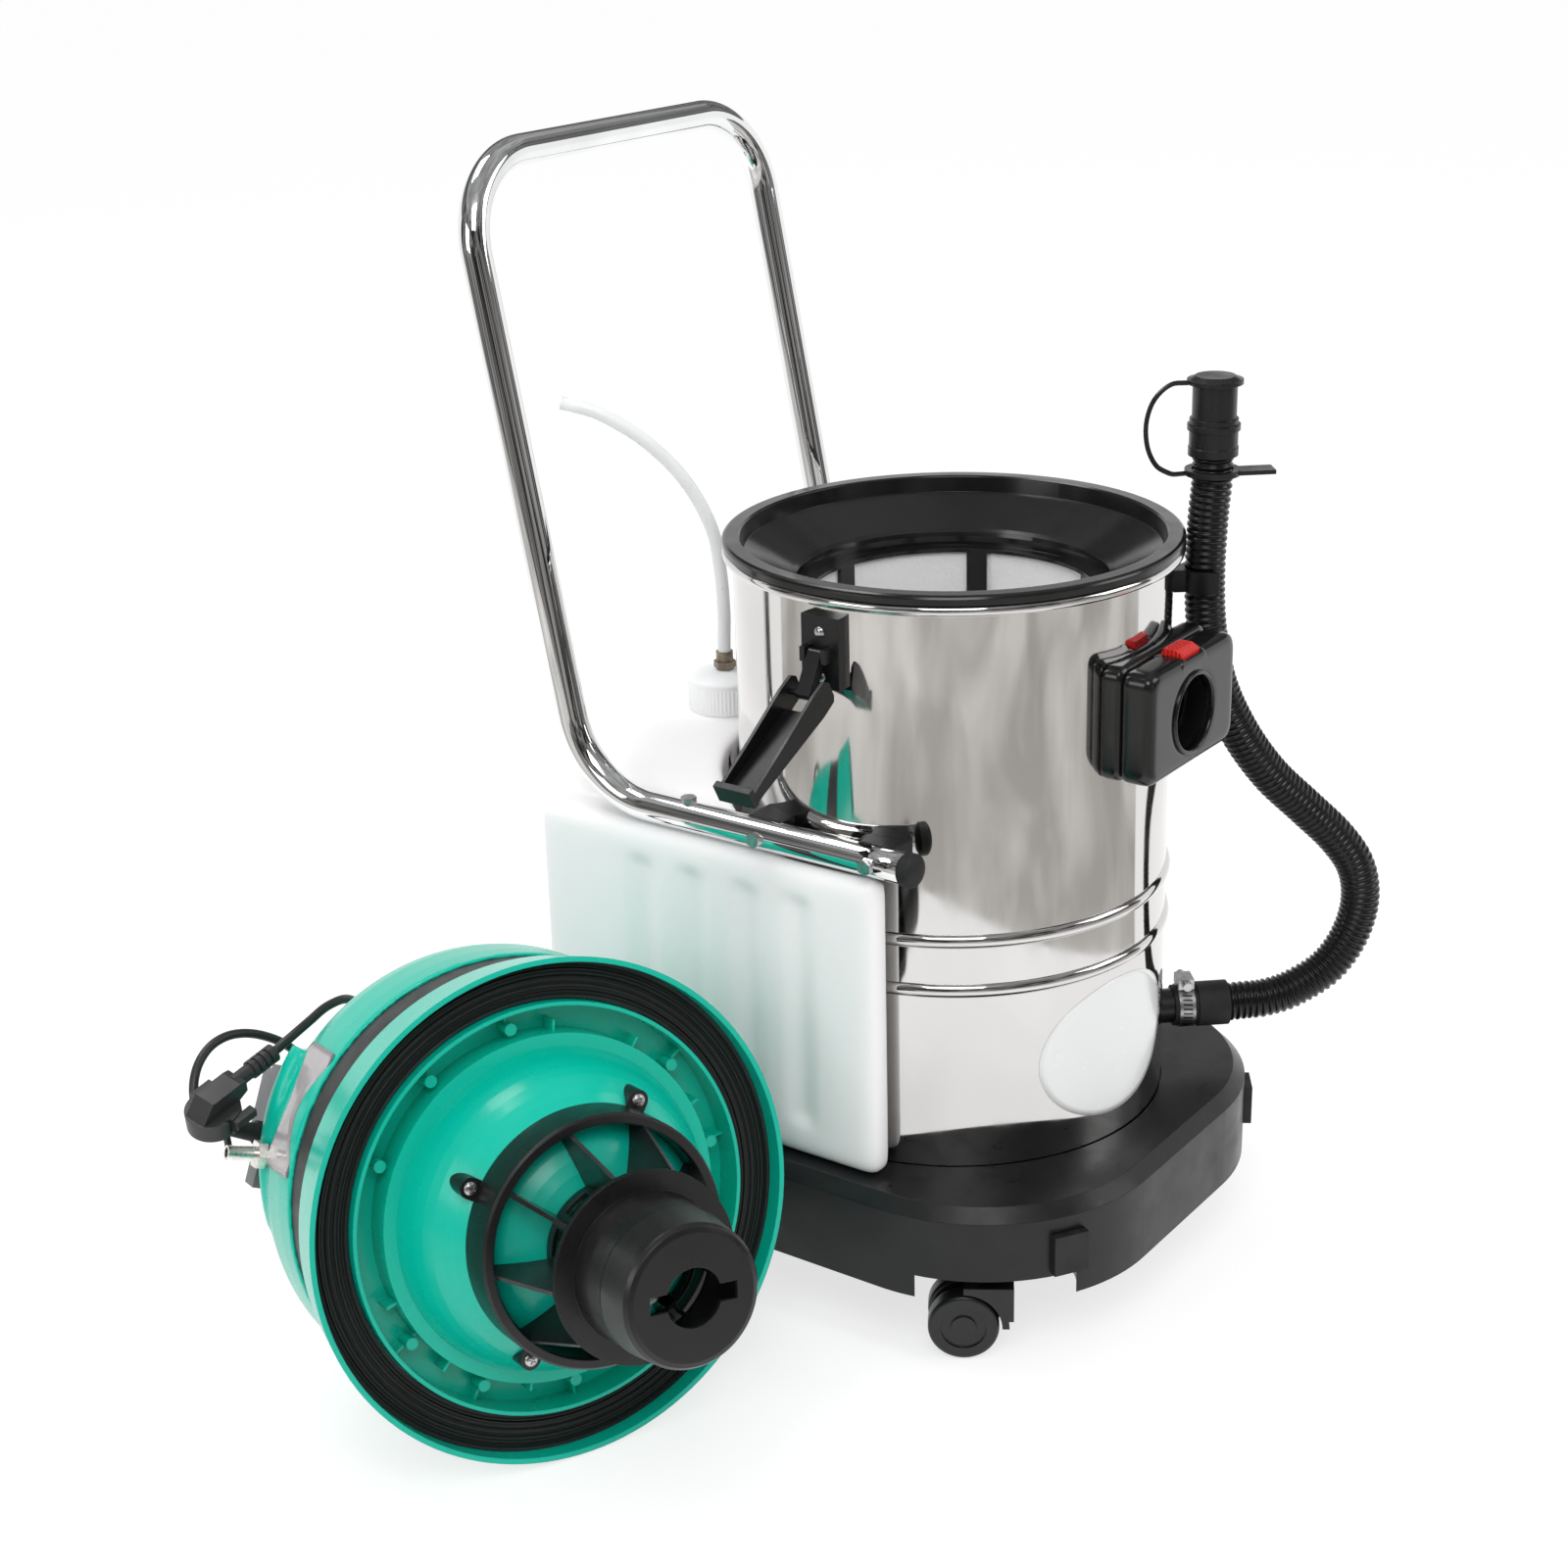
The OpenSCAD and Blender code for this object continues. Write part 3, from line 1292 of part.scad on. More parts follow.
// Tapered strain relief of the mains cord
module strain_relief() {
    color("#161618") at_head() rotate([0, 0, panel_az]) translate([panel_out, gland_u, gland_z])
        rotate([0, 90, 0]) {
            cylinder(r = 8, h = 5);
            cylinder(r1 = 7.2, r2 = cord_d / 2 + 1.4, h = gland_len);
        }
}

rocker_pivot_r = 4.5;

// Grey switch panel moulded to the back of the dome
module switch_panel() {
    color("#8e9092") at_head() difference() {
        union() {
            head_block(panel_az, 92, panel_out, panel_half_w, panel_step_z, panel_z1);
            rotate([0, 0, panel_az]) translate([92, rocker_u[0] - 12.5, panel_z0])
                cube([panel_out - 92, rocker_u[1] - rocker_u[0] + 25, panel_step_z - panel_z0 + 1]);
        }
        dome_solid(0);
        pod_form(0);
        for (u = rocker_u) rotate([0, 0, panel_az]) translate([rocker_r, u, panel_z0 - 1])
            translate([-14.5, -10.5, 0]) cube([29, 21, 11]);
    }
}

// Rocker switch on its own round pivot across the panel
module rocker(i) {
    color("#101012") at_head() rotate([0, 0, panel_az]) translate([rocker_r, rocker_u[i], panel_z0 + 3])
        rotate([90, 0, 0]) {
            linear_extrude(20, center = true)
                polygon([[-12, 2.5], [-13, -4], [0, -5.5], [13, -7.5], [12.5, 2.5]]);
            cylinder(r = rocker_pivot_r, h = 20, center = true);
        }
}

module head_handle() {
    h = 34;
    hr = 8;
    span = 52;
    color("#18181a") at_head() rotate([0, 0, panel_az - 90]) difference() {
        union() {
            for (s = [-1, 1]) translate([s * span, 0, -head_depth - h + 12]) cylinder(r = hr, h = h + 8);
            translate([0, 0, -head_depth - h + 12]) rotate([0, 90, 0])
                cylinder(r = hr, h = 2 * span, center = true);
            for (s = [-1, 1]) translate([s * span, 0, -head_depth - h + 12]) sphere(hr, $fn = 48);
        }
        rotate([0, 0, 90 - panel_az]) dome_solid(0);
    }
}

// ---------------------------------------------------------------- mains cord

// From the strain relief over the back of the dome to the floor
cord_a_route = [
    [-476.9, 275.6, 203.3], [-483.5, 280, 206.8], [-487, 286.5, 213.5], [-486, 292, 224],
    [-480, 297, 235], [-470, 301, 243.5], [-457, 303, 249], [-443, 302, 250.5], [-429, 299, 247.5],
    [-416, 294, 241], [-404, 288, 231], [-390, 284, 213],
    [-372, 288, 187], [-358, 294, 150], [-345, 298, 112], [-333, 299, 76], [-320, 295, 45],
    [-306, 286, 22], [-292, 276, 9], [-276, 268, 4], [-262, 266, 3.2], [-250, 266, 3.2]
];
// From the coil up behind the dome to the plug
cord_b_route = [
    [-250, 372, 24], [-262, 372, 24], [-278, 371, 27], [-293, 367, 38], [-306, 360, 58],
    [-317, 350, 88], [-326, 337, 124], [-333, 320, 163], [-339, 300, 200], [-347, 280, 234],
    [-360.5, 263, 252.5], [-375, 258.5, 261.8], [-394, 256.2, 264.1], [-411.4, 254.2, 261.6],
    [-428.5, 253.4, 258], [-446.7, 254.2, 252.6]
];
coil_at = [-250, 319];
coil_turns = coil_layer_turns * coil_layers;
coil_out_r = 53;
coil_low_z = cord_d / 2;

// Radius, height and place of the coil after t turns
function coil_radius(t) =
    let (layer = min(floor(t / coil_layer_turns), coil_layers - 1), u = t - layer * coil_layer_turns)
    coil_out_r - coil_pitch * (layer % 2 == 0 ? u : coil_layer_turns - u);
function coil_height(t) =
    coil_low_z + coil_pitch * ramp_sum(t, 1);
function ramp_sum(t, k) =
    k >= coil_layers ? 0
    : min(1, max(0, (t - (k * coil_layer_turns - 0.25)) / 0.5)) + ramp_sum(t, k + 1);
function coil_point(t) =
    let (a = 360 * t - 90)
    [coil_at.x + coil_radius(t) * cos(a), coil_at.y + coil_radius(t) * sin(a), coil_height(t)];

coil_rings_per_turn = 24;
coil_points = [for (i = [0 : coil_turns * coil_rings_per_turn]) coil_point(i / coil_rings_per_turn)];
coil_gap = min([for (i = [0 : 2 : len(coil_points) - 1], j = [i + 12 : len(coil_points) - 1])
    norm(coil_points[i] - coil_points[j])]) - cord_d;

module mains_cord_a() {
    color("#17171a") place() swept_rod(points_at_step(cord_a_route), cord_d / 2, 8);
}

module mains_cord_b() {
    color("#17171a") place() swept_rod(points_at_step(cord_b_route), cord_d / 2, 8);
}

// Even rings along a hand-laid route
function points_at_step(route) =
    let (line = fine_line(route, 6), total = max(distances(line)), count = ceil(total / (2.5 * cord_d)))
    points_at(line, [for (i = [0 : count]) total * i / count]);

module cord_coil() {
    echo(str("least gap between coil turns ", coil_gap));
    color("#17171a") place() swept_rod(coil_points, cord_d / 2, 6);
}

// Right-angle mains plug with round pins
plug_out = [0.9715, -0.0617, 0.2294];
plug_back = unit([-0.237, -0.198, 0.951]);
plug_side = cross(plug_back, unit(plug_out));
plug_fwd = cross(plug_side, plug_back);
plug_reach = 56;

module at_plug() {
    p = cord_b_route[len(cord_b_route) - 1] - plug_reach * plug_fwd;
    place() multmatrix([
        [plug_fwd.x, plug_side.x, plug_back.x, p.x],
        [plug_fwd.y, plug_side.y, plug_back.y, p.y],
        [plug_fwd.z, plug_side.z, plug_back.z, p.z],
        [0, 0, 0, 1]
    ]) children();
}

module mains_plug() {
    color("#141416") at_plug() {
        difference() {
            translate([0, 0, -20]) cylinder(r = 18.5, h = 13);
            for (s = [-1, 1]) translate([-3.5, s * 18.5 - 2.5, -21]) cube([3.5, 5, 15]);
        }
        for (s = [-1, 1]) translate([0.5, s * 19.5 - 3, -14]) cube([17, 6, 6]);
        along_y(-8.5, 8.5) polygon([[-16, -7.5], [-5, 5], [19, 5], [24, 4], [24, -4.5], [17, -7.5]]);
        rotate([0, 90, 0]) {
            translate([0, 0, 20]) cylinder(r = 5.3, h = plug_reach - 20);
            for (k = [0 : 3]) translate([0, 0, plug_reach - 21 + 5.2 * k]) cylinder(r = 6.6, h = 3.4);
            translate([0, 0, plug_reach - 2]) cylinder(r = 6.6, h = 2);
        }
        for (s = [-1, 1]) translate([0, s * 9.5, -39]) cylinder(r = 2.4, h = 20, $fn = 32);
    }
}

// ---------------------------------------------------------------- output

base_platform();
base_bumpers();
caster_hood(0);  // caster_hood_front_left
caster_hood(1);  // caster_hood_front_right
caster_hood(2);  // caster_hood_rear_left
caster_hood(3);  // caster_hood_rear_right
caster_wheels(0);  // caster_wheels_front_left
caster_wheels(1);  // caster_wheels_front_right
caster_wheels(2);  // caster_wheels_rear_left
caster_wheels(3);  // caster_wheels_rear_right
drum_shell();
filter_basket();
filter_cloth();
inlet_plate();
inlet_box();
inlet_button();
drain_spout();
hose_clamp();
hose_cuff_lower();
drain_hose();
hose_cuff_upper();
hose_cap();
hose_cap_strap();
hose_clip();
handle_tube();
handle_end_caps();
handle_bolts();
handle_spacers();
solution_tank();
tank_cap();
tank_fitting();
tank_dip_tube();
solution_tube();
latch_plate(-1);  // latch_plate_left
latch_plate(1);  // latch_plate_right
latch_link(-1);  // latch_link_left
latch_link(1);  // latch_link_right
latch_lever(-1);  // latch_lever_left
latch_lever(1);  // latch_lever_right
latch_screws();
head_dome();
head_band();
head_lower_housing();
head_gasket();
float_cage();
cage_screws();
float_ball();
motor_body();
motor_rotor();
pump_body();
hose_barb();
strain_relief();
switch_panel();
rocker(0);  // rocker_switch_motor
rocker(1);  // rocker_switch_pump
head_handle();
mains_cord_a();
cord_coil();
mains_cord_b();
mains_plug();
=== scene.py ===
import math

import bpy
import numpy as np
from mathutils import Matrix, Vector


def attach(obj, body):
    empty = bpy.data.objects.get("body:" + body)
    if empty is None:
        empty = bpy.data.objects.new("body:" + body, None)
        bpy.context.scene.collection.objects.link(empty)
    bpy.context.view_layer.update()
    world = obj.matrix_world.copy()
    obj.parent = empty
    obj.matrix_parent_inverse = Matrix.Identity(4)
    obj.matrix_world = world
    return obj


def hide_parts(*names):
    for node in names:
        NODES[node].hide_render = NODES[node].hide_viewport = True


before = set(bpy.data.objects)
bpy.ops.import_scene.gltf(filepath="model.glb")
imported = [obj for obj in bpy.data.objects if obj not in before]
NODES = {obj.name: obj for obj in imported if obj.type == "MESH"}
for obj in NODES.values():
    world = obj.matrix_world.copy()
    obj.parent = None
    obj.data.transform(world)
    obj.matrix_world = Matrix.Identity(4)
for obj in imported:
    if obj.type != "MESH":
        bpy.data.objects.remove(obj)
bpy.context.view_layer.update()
SCENE = bpy.context.scene
SCENE.view_settings.view_transform = "Standard"

# ---------------------------------------------------------------- places
# The CAD source's own millimetres, moved to the middle of the footprint and turned into metres.
MID = (-141.6423070, 52.3309735)


def at(x, y, z):
    return Vector(((x - MID[0]) / 1000, (y - MID[1]) / 1000, z / 1000))


TILT, TURN = math.radians(10.4), math.radians(-114.3)
AXIS = Vector((math.cos(TILT) * math.cos(TURN), math.cos(TILT) * math.sin(TURN), math.sin(TILT)))
DOWN = Vector((math.sin(TILT) * math.cos(TURN), math.sin(TILT) * math.sin(TURN), -math.cos(TILT)))
ACROSS = Vector((-math.sin(TURN), math.cos(TURN), 0))
HEAD_AT = at(-393.3, 57.7, 167.3786)
HEAD = Matrix.Translation(HEAD_AT) @ Matrix((DOWN, ACROSS, AXIS)).transposed().to_4x4()


# ---------------------------------------------------------------- camera
LENS, SENSOR = 61.04, 36.0
CAMERA_AT = at(-1533.0, -963.3, 1045.7)


def make_camera():
    data = bpy.data.cameras.new("camera")
    data.lens, data.sensor_width = LENS, SENSOR
    cam = bpy.data.objects.new("camera", data)
    SCENE.collection.objects.link(cam)
    pitch, yaw, roll, turn = 0.365949, -0.0680918, -0.0266233, -math.pi / 2 + 0.561
    forward = Vector((math.sin(yaw) * math.cos(pitch), math.cos(yaw) * math.cos(pitch), -math.sin(pitch)))
    level = Vector((math.cos(yaw), -math.sin(yaw), 0))
    up = level.cross(forward)
    right = math.cos(roll) * level + math.sin(roll) * up
    up = -math.sin(roll) * level + math.cos(roll) * up
    spin = Matrix.Rotation(turn, 4, "Z")
    pose = spin @ Matrix((right, up, -forward)).transposed().to_4x4()
    pose.translation = CAMERA_AT
    cam.matrix_world = pose
    SCENE.camera = cam


make_camera()


# ---------------------------------------------------------------- meshes
def piece(name, points, faces, body=None):
    mesh = bpy.data.meshes.new(name)
    mesh.from_pydata([tuple(p) for p in points], [], faces)
    mesh.validate()
    mesh.update()
    mesh.polygons.foreach_set("use_smooth", [True] * len(mesh.polygons))
    o = bpy.data.objects.new(name, mesh)
    SCENE.collection.objects.link(o)
    if body:
        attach(o, body)
    return o


def unit(v):
    return v / np.linalg.norm(v)


def fine_line(points, k):
    """The CAD source's smooth line through its points: the first and last stretches stay straight."""
    p = [np.array(q, float) for q in points]
    n = len(p)

    def ghost(a, b, c):
        return c - 2 * np.linalg.norm(c - b) * unit(b - a)

    g0, g1 = ghost(p[0], p[1], p[2]), ghost(p[n - 1], p[n - 2], p[n - 3])
    out = [p[0]]
    for i in range(1, n - 2):
        a, b, c = (g0 if i == 1 else p[i - 1]), p[i], p[i + 1]
        d = g1 if i == n - 3 else p[i + 2]
        for j in range(k):
            t = j / k
            out.append(0.5 * (2 * b + (c - a) * t + (2 * a - 5 * b + 4 * c - d) * t * t
                              + (3 * b - a - 3 * c + d) * t ** 3))
    return np.array(out + [p[n - 2], p[n - 1]])


def lengths(line):
    return np.concatenate([[0], np.cumsum(np.linalg.norm(np.diff(line, axis=0), axis=1))])


def spaced(line, count):
    s = lengths(line)
    t = np.linspace(0, s[-1], count)
    return np.stack([np.interp(t, s, line[:, k]) for k in range(3)], axis=1)


def frames(line, start):
    t = np.gradient(line, axis=0)
    t /= np.linalg.norm(t, axis=1)[:, None]
    n = np.empty_like(t)
    n[0] = unit(np.array(start, float) - np.dot(start, t[0]) * t[0])
    for i in range(1, len(t)):
        n[i] = unit(n[i - 1] - np.dot(n[i - 1], t[i]) * t[i])
    return t, n, np.cross(t, n)


def tube(name, line, radius, sides, body, start=(0, 0, 1), bore=None):
    """A round tube along a line in millimetres of the CAD source. radius is one number or one per point."""
    line = np.array(line, float)
    line = (line - [MID[0], MID[1], 0]) / 1000
    _, n, b = frames(line, start)
    r = np.broadcast_to(np.array(radius, float) / 1000, len(line))
    a = np.linspace(0, 2 * math.pi, sides, endpoint=False)
    ring = np.cos(a)[None, :, None] * n[:, None] + np.sin(a)[None, :, None] * b[:, None]
    skins = [line[:, None] + r[:, None, None] * ring]
    if bore is not None:
        skins.append(line[:, None] + bore / 1000 * ring)
    points = np.concatenate([s.reshape(-1, 3) for s in skins])
    m, faces = len(line) * sides, []
    for i in range(len(line) - 1):
        for k in range(sides):
            here, ahead, j = i * sides, (i + 1) * sides, (k + 1) % sides
            q = [here + k, here + j, ahead + j, ahead + k]
            faces.append(q)
            if bore is not None:
                faces.append([m + v for v in reversed(q)])
    last = m - sides
    if bore is None:
        faces += [list(range(sides))[::-1], [last + k for k in range(sides)]]
    else:
        for k in range(sides):
            j = (k + 1) % sides
            faces += [[j, k, m + k, m + j], [last + k, last + j, m + last + j, m + last + k]]
    return piece(name, points, faces, body)


def lathe(name, profile, segments, body, place=Matrix.Identity(4), closed=False, ripple=None):
    """Turns a profile of (radius, height) in millimetres round the place's Z axis."""
    points, n = [], len(profile)
    for k in range(segments):
        a = 2 * math.pi * k / segments
        for i, (r, z) in enumerate(profile):
            q = r + (ripple(a, i) if ripple else 0)
            points.append(place @ Vector((q * math.cos(a) / 1000, q * math.sin(a) / 1000, z / 1000)))
    faces = []
    for k in range(segments):
        j = (k + 1) % segments
        for i in range(n if closed else n - 1):
            m = (i + 1) % n
            faces.append([k * n + i, j * n + i, j * n + m, k * n + m])
    return piece(name, points, faces, body)


# ---------------------------------------------------------------- materials
class Shader:
    """A small helper that adds nodes to one material and links what it is given."""

    def __init__(self, name):
        self.mat = bpy.data.materials.new(name)
        self.mat.use_nodes = True
        self.tree = self.mat.node_tree
        self.bsdf = self.tree.nodes["Principled BSDF"]
        self.place = self.add("ShaderNodeTexCoord").outputs["Object"]

    def add(self, kind, inputs=(), **settings):
        node = self.tree.nodes.new(kind)
        for key, value in settings.items():
            setattr(node, key, value)
        for key, value in dict(inputs).items():
            self.put(node.inputs[key], value)
        return node

    def put(self, socket, value):
        if isinstance(value, bpy.types.NodeSocket):
            self.tree.links.new(value, socket)
        else:
            socket.default_value = value

    def set(self, **values):
        for key, value in values.items():
            self.put(self.bsdf.inputs[key.replace("_", " ")], value)
        return self

    def noise(self, scale, detail=3.0, where=None, distortion=0.0, rough=0.5):
        return self.add("ShaderNodeTexNoise", {
            "Vector": where or self.place, "Scale": scale, "Detail": detail,
            "Distortion": distortion, "Roughness": rough}).outputs[0]

    def span(self, value, a, b, lo=0.3, hi=0.7):
        return self.add("ShaderNodeMapRange", {
            "Value": value, "From Min": lo, "From Max": hi, "To Min": a, "To Max": b}).outputs[0]

    def math(self, kind, a, b=0.0):
        return self.add("ShaderNodeMath", {0: a, 1: b}, operation=kind).outputs[0]

    def blend(self, factor, a, b):
        node = self.add("ShaderNodeMix", {0: factor}, data_type="RGBA")
        for socket, value in ((node.inputs[6], a), (node.inputs[7], b)):
            self.put(socket, value if isinstance(value, bpy.types.NodeSocket) else (*value, 1.0))
        return node.outputs[2]

    def stretch(self, x, y, z):
        return self.add("ShaderNodeMapping", {"Vector": self.place, "Scale": (x, y, z)}).outputs[0]

    def bump(self, height, depth, before=None):
        node = self.add("ShaderNodeBump", {"Height": height, "Distance": depth})
        if before is not None:
            self.put(node.inputs["Normal"], before)
        return node.outputs[0]

    def soft_edge(self, radius):
        return self.add("ShaderNodeBevel", {"Radius": radius}, samples=4).outputs[0]


def plastic(name, color, dark, rough, grain=0.00004, grain_scale=1400, edge=0.0008, mottle=9.0,
            spread=0.08, coat=0.0, subsurface=0.0, dust=0.0):
    """Moulded plastic: fine grain, slow changes of colour and gloss, soft edges and a little dust on top."""
    s = Shader(name)
    slow = s.noise(mottle, 5)
    color_now = s.blend(s.span(slow, 0.0, 1.0), dark, color)
    if dust > 0:
        up = s.add("ShaderNodeSeparateXYZ", {0: s.add("ShaderNodeNewGeometry").outputs["Normal"]}).outputs[2]
        flakes = s.span(s.noise(140, 8, rough=0.7), 0.0, dust, 0.5, 0.75)
        share = s.math("MULTIPLY", flakes, s.math("MAXIMUM", up, 0.0))
        color_now = s.blend(share, color_now, (0.45, 0.44, 0.42))
    s.set(Base_Color=color_now, Roughness=s.span(s.noise(mottle * 5, 6), rough - spread, rough + spread))
    normal = s.soft_edge(edge) if edge > 0 else None
    normal = s.bump(s.noise(grain_scale, 2), grain, normal)
    s.set(Normal=normal, Coat_Weight=coat, Coat_Roughness=0.15)
    if subsurface > 0:
        s.set(Subsurface_Weight=subsurface, Subsurface_Radius=(0.02, 0.018, 0.016), Subsurface_Scale=0.6)
    return s


def metal(name, color, dark, rough, spread, mottle, waves=0.0, wave_scale=4.0, edge=0.0004, brushed=None):
    """Polished or plated metal: slow tone changes, fine smears in the gloss, and a slightly wavy sheet."""
    s = Shader(name)
    slow = s.noise(mottle, 6, distortion=1.2)
    s.set(Metallic=1.0, Base_Color=s.blend(s.span(slow, 0.0, 1.0, 0.35, 0.65), dark, color))
    smear = s.noise(60, 8, where=s.stretch(1.0, 1.0, 0.35), rough=0.65)
    s.set(Roughness=s.span(smear, max(0.02, rough - spread), rough + spread))
    normal = s.soft_edge(edge) if edge > 0 else None
    if waves > 0:
        normal = s.bump(s.noise(wave_scale, 1), waves, normal)
    if brushed:
        normal = s.bump(s.noise(900, 3, where=s.stretch(*brushed)), 0.00003, normal)
    if normal is not None:
        s.set(Normal=normal)
    return s


BLACK = plastic("black_moulded", (0.008, 0.008, 0.009), (0.005, 0.005, 0.006), 0.34,
                dust=0.02).set(Specular_IOR_Level=0.42)
BLACK_GLOSS = plastic("black_gloss", (0.009, 0.009, 0.009), (0.006, 0.006, 0.006), 0.17, grain=0.00001,
                      spread=0.04, dust=0.01)
BLACK_SATIN = plastic("black_satin", (0.011, 0.011, 0.012), (0.007, 0.007, 0.007), 0.32, grain=0.00002,
                      dust=0.02)
RUBBER = plastic("black_rubber", (0.012, 0.012, 0.012), (0.008, 0.008, 0.008), 0.60, grain=0.00008, dust=0.04)
BAND = plastic("band_plastic", (0.030, 0.030, 0.031), (0.022, 0.022, 0.023), 0.44, grain=0.00004, edge=0.0)
GREEN = plastic("green_moulded", (0.001, 0.49, 0.36), (0.0005, 0.46, 0.335), 0.27, grain=0.00001, mottle=4.0,
                edge=0.0010, spread=0.03, coat=0.2, subsurface=0.04).set(Specular_IOR_Level=0.28)
RED = plastic("red_button", (0.80, 0.022, 0.016), (0.72, 0.018, 0.013), 0.36, grain=0.00003, edge=0.0005)
GREY = plastic("grey_panel", (0.20, 0.205, 0.21), (0.15, 0.155, 0.16), 0.48)
# On the drum, the slow light and dark clouds in the base colour are partly painted reflection. They stand in
# for smudged reflections, and partly they are tone that differs at random.
STEEL = metal("mirror_steel", (0.74, 0.73, 0.72), (0.63, 0.62, 0.61), 0.065, 0.03, 3.2, waves=0.0014)
CHROME = metal("chrome", (0.88, 0.885, 0.89), (0.78, 0.785, 0.79), 0.035, 0.015, 8.0, edge=0.0)
ZINC = metal("zinc", (0.62, 0.62, 0.63), (0.42, 0.42, 0.43), 0.30, 0.08, 90.0, brushed=(1, 1, 6))
NICKEL = metal("nickel", (0.92, 0.89, 0.84), (0.80, 0.77, 0.72), 0.26, 0.06, 120.0)
BRASS = metal("dull_brass", (0.40, 0.33, 0.24), (0.22, 0.19, 0.15), 0.42, 0.1, 80.0)
MOTOR = metal("motor_metal", (0.35, 0.35, 0.36), (0.22, 0.22, 0.23), 0.45, 0.1, 30.0)
# White HDPE. The slight red in its colour is painted light, set against the green light that the head bounces
# onto the tank.
WHITE = plastic("white_hdpe_painted_warm_tint", (0.955, 0.94, 0.943), (0.925, 0.912, 0.917), 0.42, grain=0.00005,
                grain_scale=500, edge=0.0, mottle=4.0, subsurface=0.15)
WHITE_CAP = plastic("white_cap", (0.91, 0.915, 0.92), (0.87, 0.88, 0.89), 0.38, grain=0.00003, subsurface=0.1)


def gasket_material():
    """Rubber with fine rings round the head's axis."""
    s = plastic("gasket_rubber", (0.008, 0.008, 0.008), (0.005, 0.005, 0.005), 0.58, grain=0.00005, edge=0.0)
    off = s.add("ShaderNodeVectorMath", {0: s.place, 1: HEAD_AT}, operation="SUBTRACT").outputs[0]
    around = s.add("ShaderNodeVectorMath", {0: off, 1: AXIS}, operation="CROSS_PRODUCT").outputs[0]
    r = s.add("ShaderNodeVectorMath", {0: around}, operation="LENGTH").outputs["Value"]
    ridge = s.math("SINE", s.math("MULTIPLY", r, 2 * math.pi / 0.0042))
    s.set(Normal=s.bump(ridge, 0.0005, s.bsdf.inputs["Normal"].links[0].from_socket))
    return s


def cloth_material():
    """Non-woven filter felt: short fibres, thin spots and a faint pressed pattern."""
    s = Shader("filter_felt")
    fibre = s.noise(420, 9, where=s.stretch(1.0, 1.0, 0.3), distortion=2.5, rough=0.75)
    blot = s.noise(60, 5)
    tone = s.blend(s.span(fibre, 0.0, 1.0), (0.90, 0.90, 0.91), (0.98, 0.98, 0.98))
    color = s.blend(s.span(blot, 0.0, 0.35), tone, (0.94, 0.94, 0.95))
    s.set(Base_Color=color, Roughness=0.9, Sheen_Weight=0.4)
    press = s.add("ShaderNodeTexVoronoi", {"Vector": s.place, "Scale": 260.0}).outputs[0]
    s.set(Normal=s.bump(press, 0.00025, s.bump(fibre, 0.0004)))
    s.set(Subsurface_Weight=0.2, Subsurface_Radius=(0.01, 0.01, 0.01), Subsurface_Scale=0.4)
    return s


def clear_material(name, color, rough, share):
    """Milky, half clear tube plastic."""
    s = plastic(name, color, tuple(c * 0.93 for c in color), rough, grain=0.00002, edge=0.0, mottle=30.0)
    s.set(Transmission_Weight=share, IOR=1.45, Subsurface_Weight=0.2, Subsurface_Radius=(0.01, 0.01, 0.01))
    return s


def knurl(s, pitch, depth):
    """Small round studs in rows, as on a button that is pressed with a thumb."""
    xyz = s.add("ShaderNodeSeparateXYZ", {0: s.place}).outputs
    wave = [s.math("SINE", s.math("MULTIPLY", xyz[k], 2 * math.pi / pitch)) for k in (0, 1)]
    s.set(Normal=s.bump(s.math("MULTIPLY", *wave), depth, s.bsdf.inputs["Normal"].links[0].from_socket))


knurl(RED, 0.003, 0.0005)
GASKET = gasket_material()
FELT = cloth_material()
CLEAR = clear_material("milky_tube", (0.93, 0.94, 0.94), 0.34, 0.12)
FILM = clear_material("clear_film", (0.95, 0.96, 0.96), 0.12, 0.9)


def dress(o, shader):
    o.data.materials.clear()
    o.data.materials.append(shader.mat)
    if o.type == "MESH":
        o.data.polygons.foreach_set("material_index", [0] * len(o.data.polygons))
    return o


# ---------------------------------------------------------------- cords first
CORD_A = [
    [-476.9, 275.6, 203.3], [-483.5, 280, 206.8], [-487, 286.5, 213.5], [-486, 292, 224],
    [-480, 297, 235], [-470, 301, 243.5], [-457, 303, 249], [-443, 302, 250.5], [-429, 299, 247.5],
    [-416, 294, 241], [-404, 288, 231], [-390, 284, 213],
    [-372, 288, 187], [-358, 294, 150], [-345, 298, 112], [-333, 299, 76], [-320, 295, 45],
    [-306, 286, 22], [-292, 276, 9], [-276, 268, 4], [-262, 266, 3.2], [-250, 266, 3.2]]
CORD_B = [
    [-250, 372, 24], [-262, 372, 24], [-278, 371, 27], [-293, 367, 38], [-306, 360, 58],
    [-317, 350, 88], [-326, 337, 124], [-333, 320, 163], [-339, 300, 200], [-347, 280, 234],
    [-360.5, 263, 252.5], [-375, 258.5, 261.8], [-394, 256.2, 264.1], [-411.4, 254.2, 261.6],
    [-428.5, 253.4, 258], [-446.7, 254.2, 252.6]]
COIL_AT, COIL_R, PITCH, LAYER_TURNS, LAYERS, CORD_D = (-250, 319), 53, 6.9, 3.875, 4, 6.4


def coil_point(t):
    layer = min(int(t // LAYER_TURNS), LAYERS - 1)
    u = t - layer * LAYER_TURNS
    r = COIL_R - PITCH * (u if layer % 2 == 0 else LAYER_TURNS - u)
    rise = sum(min(1, max(0, (t - (k * LAYER_TURNS - 0.25)) / 0.5)) for k in range(1, LAYERS))
    a = math.radians(360 * t - 90)
    return [COIL_AT[0] + r * math.cos(a), COIL_AT[1] + r * math.sin(a), CORD_D / 2 + PITCH * rise]


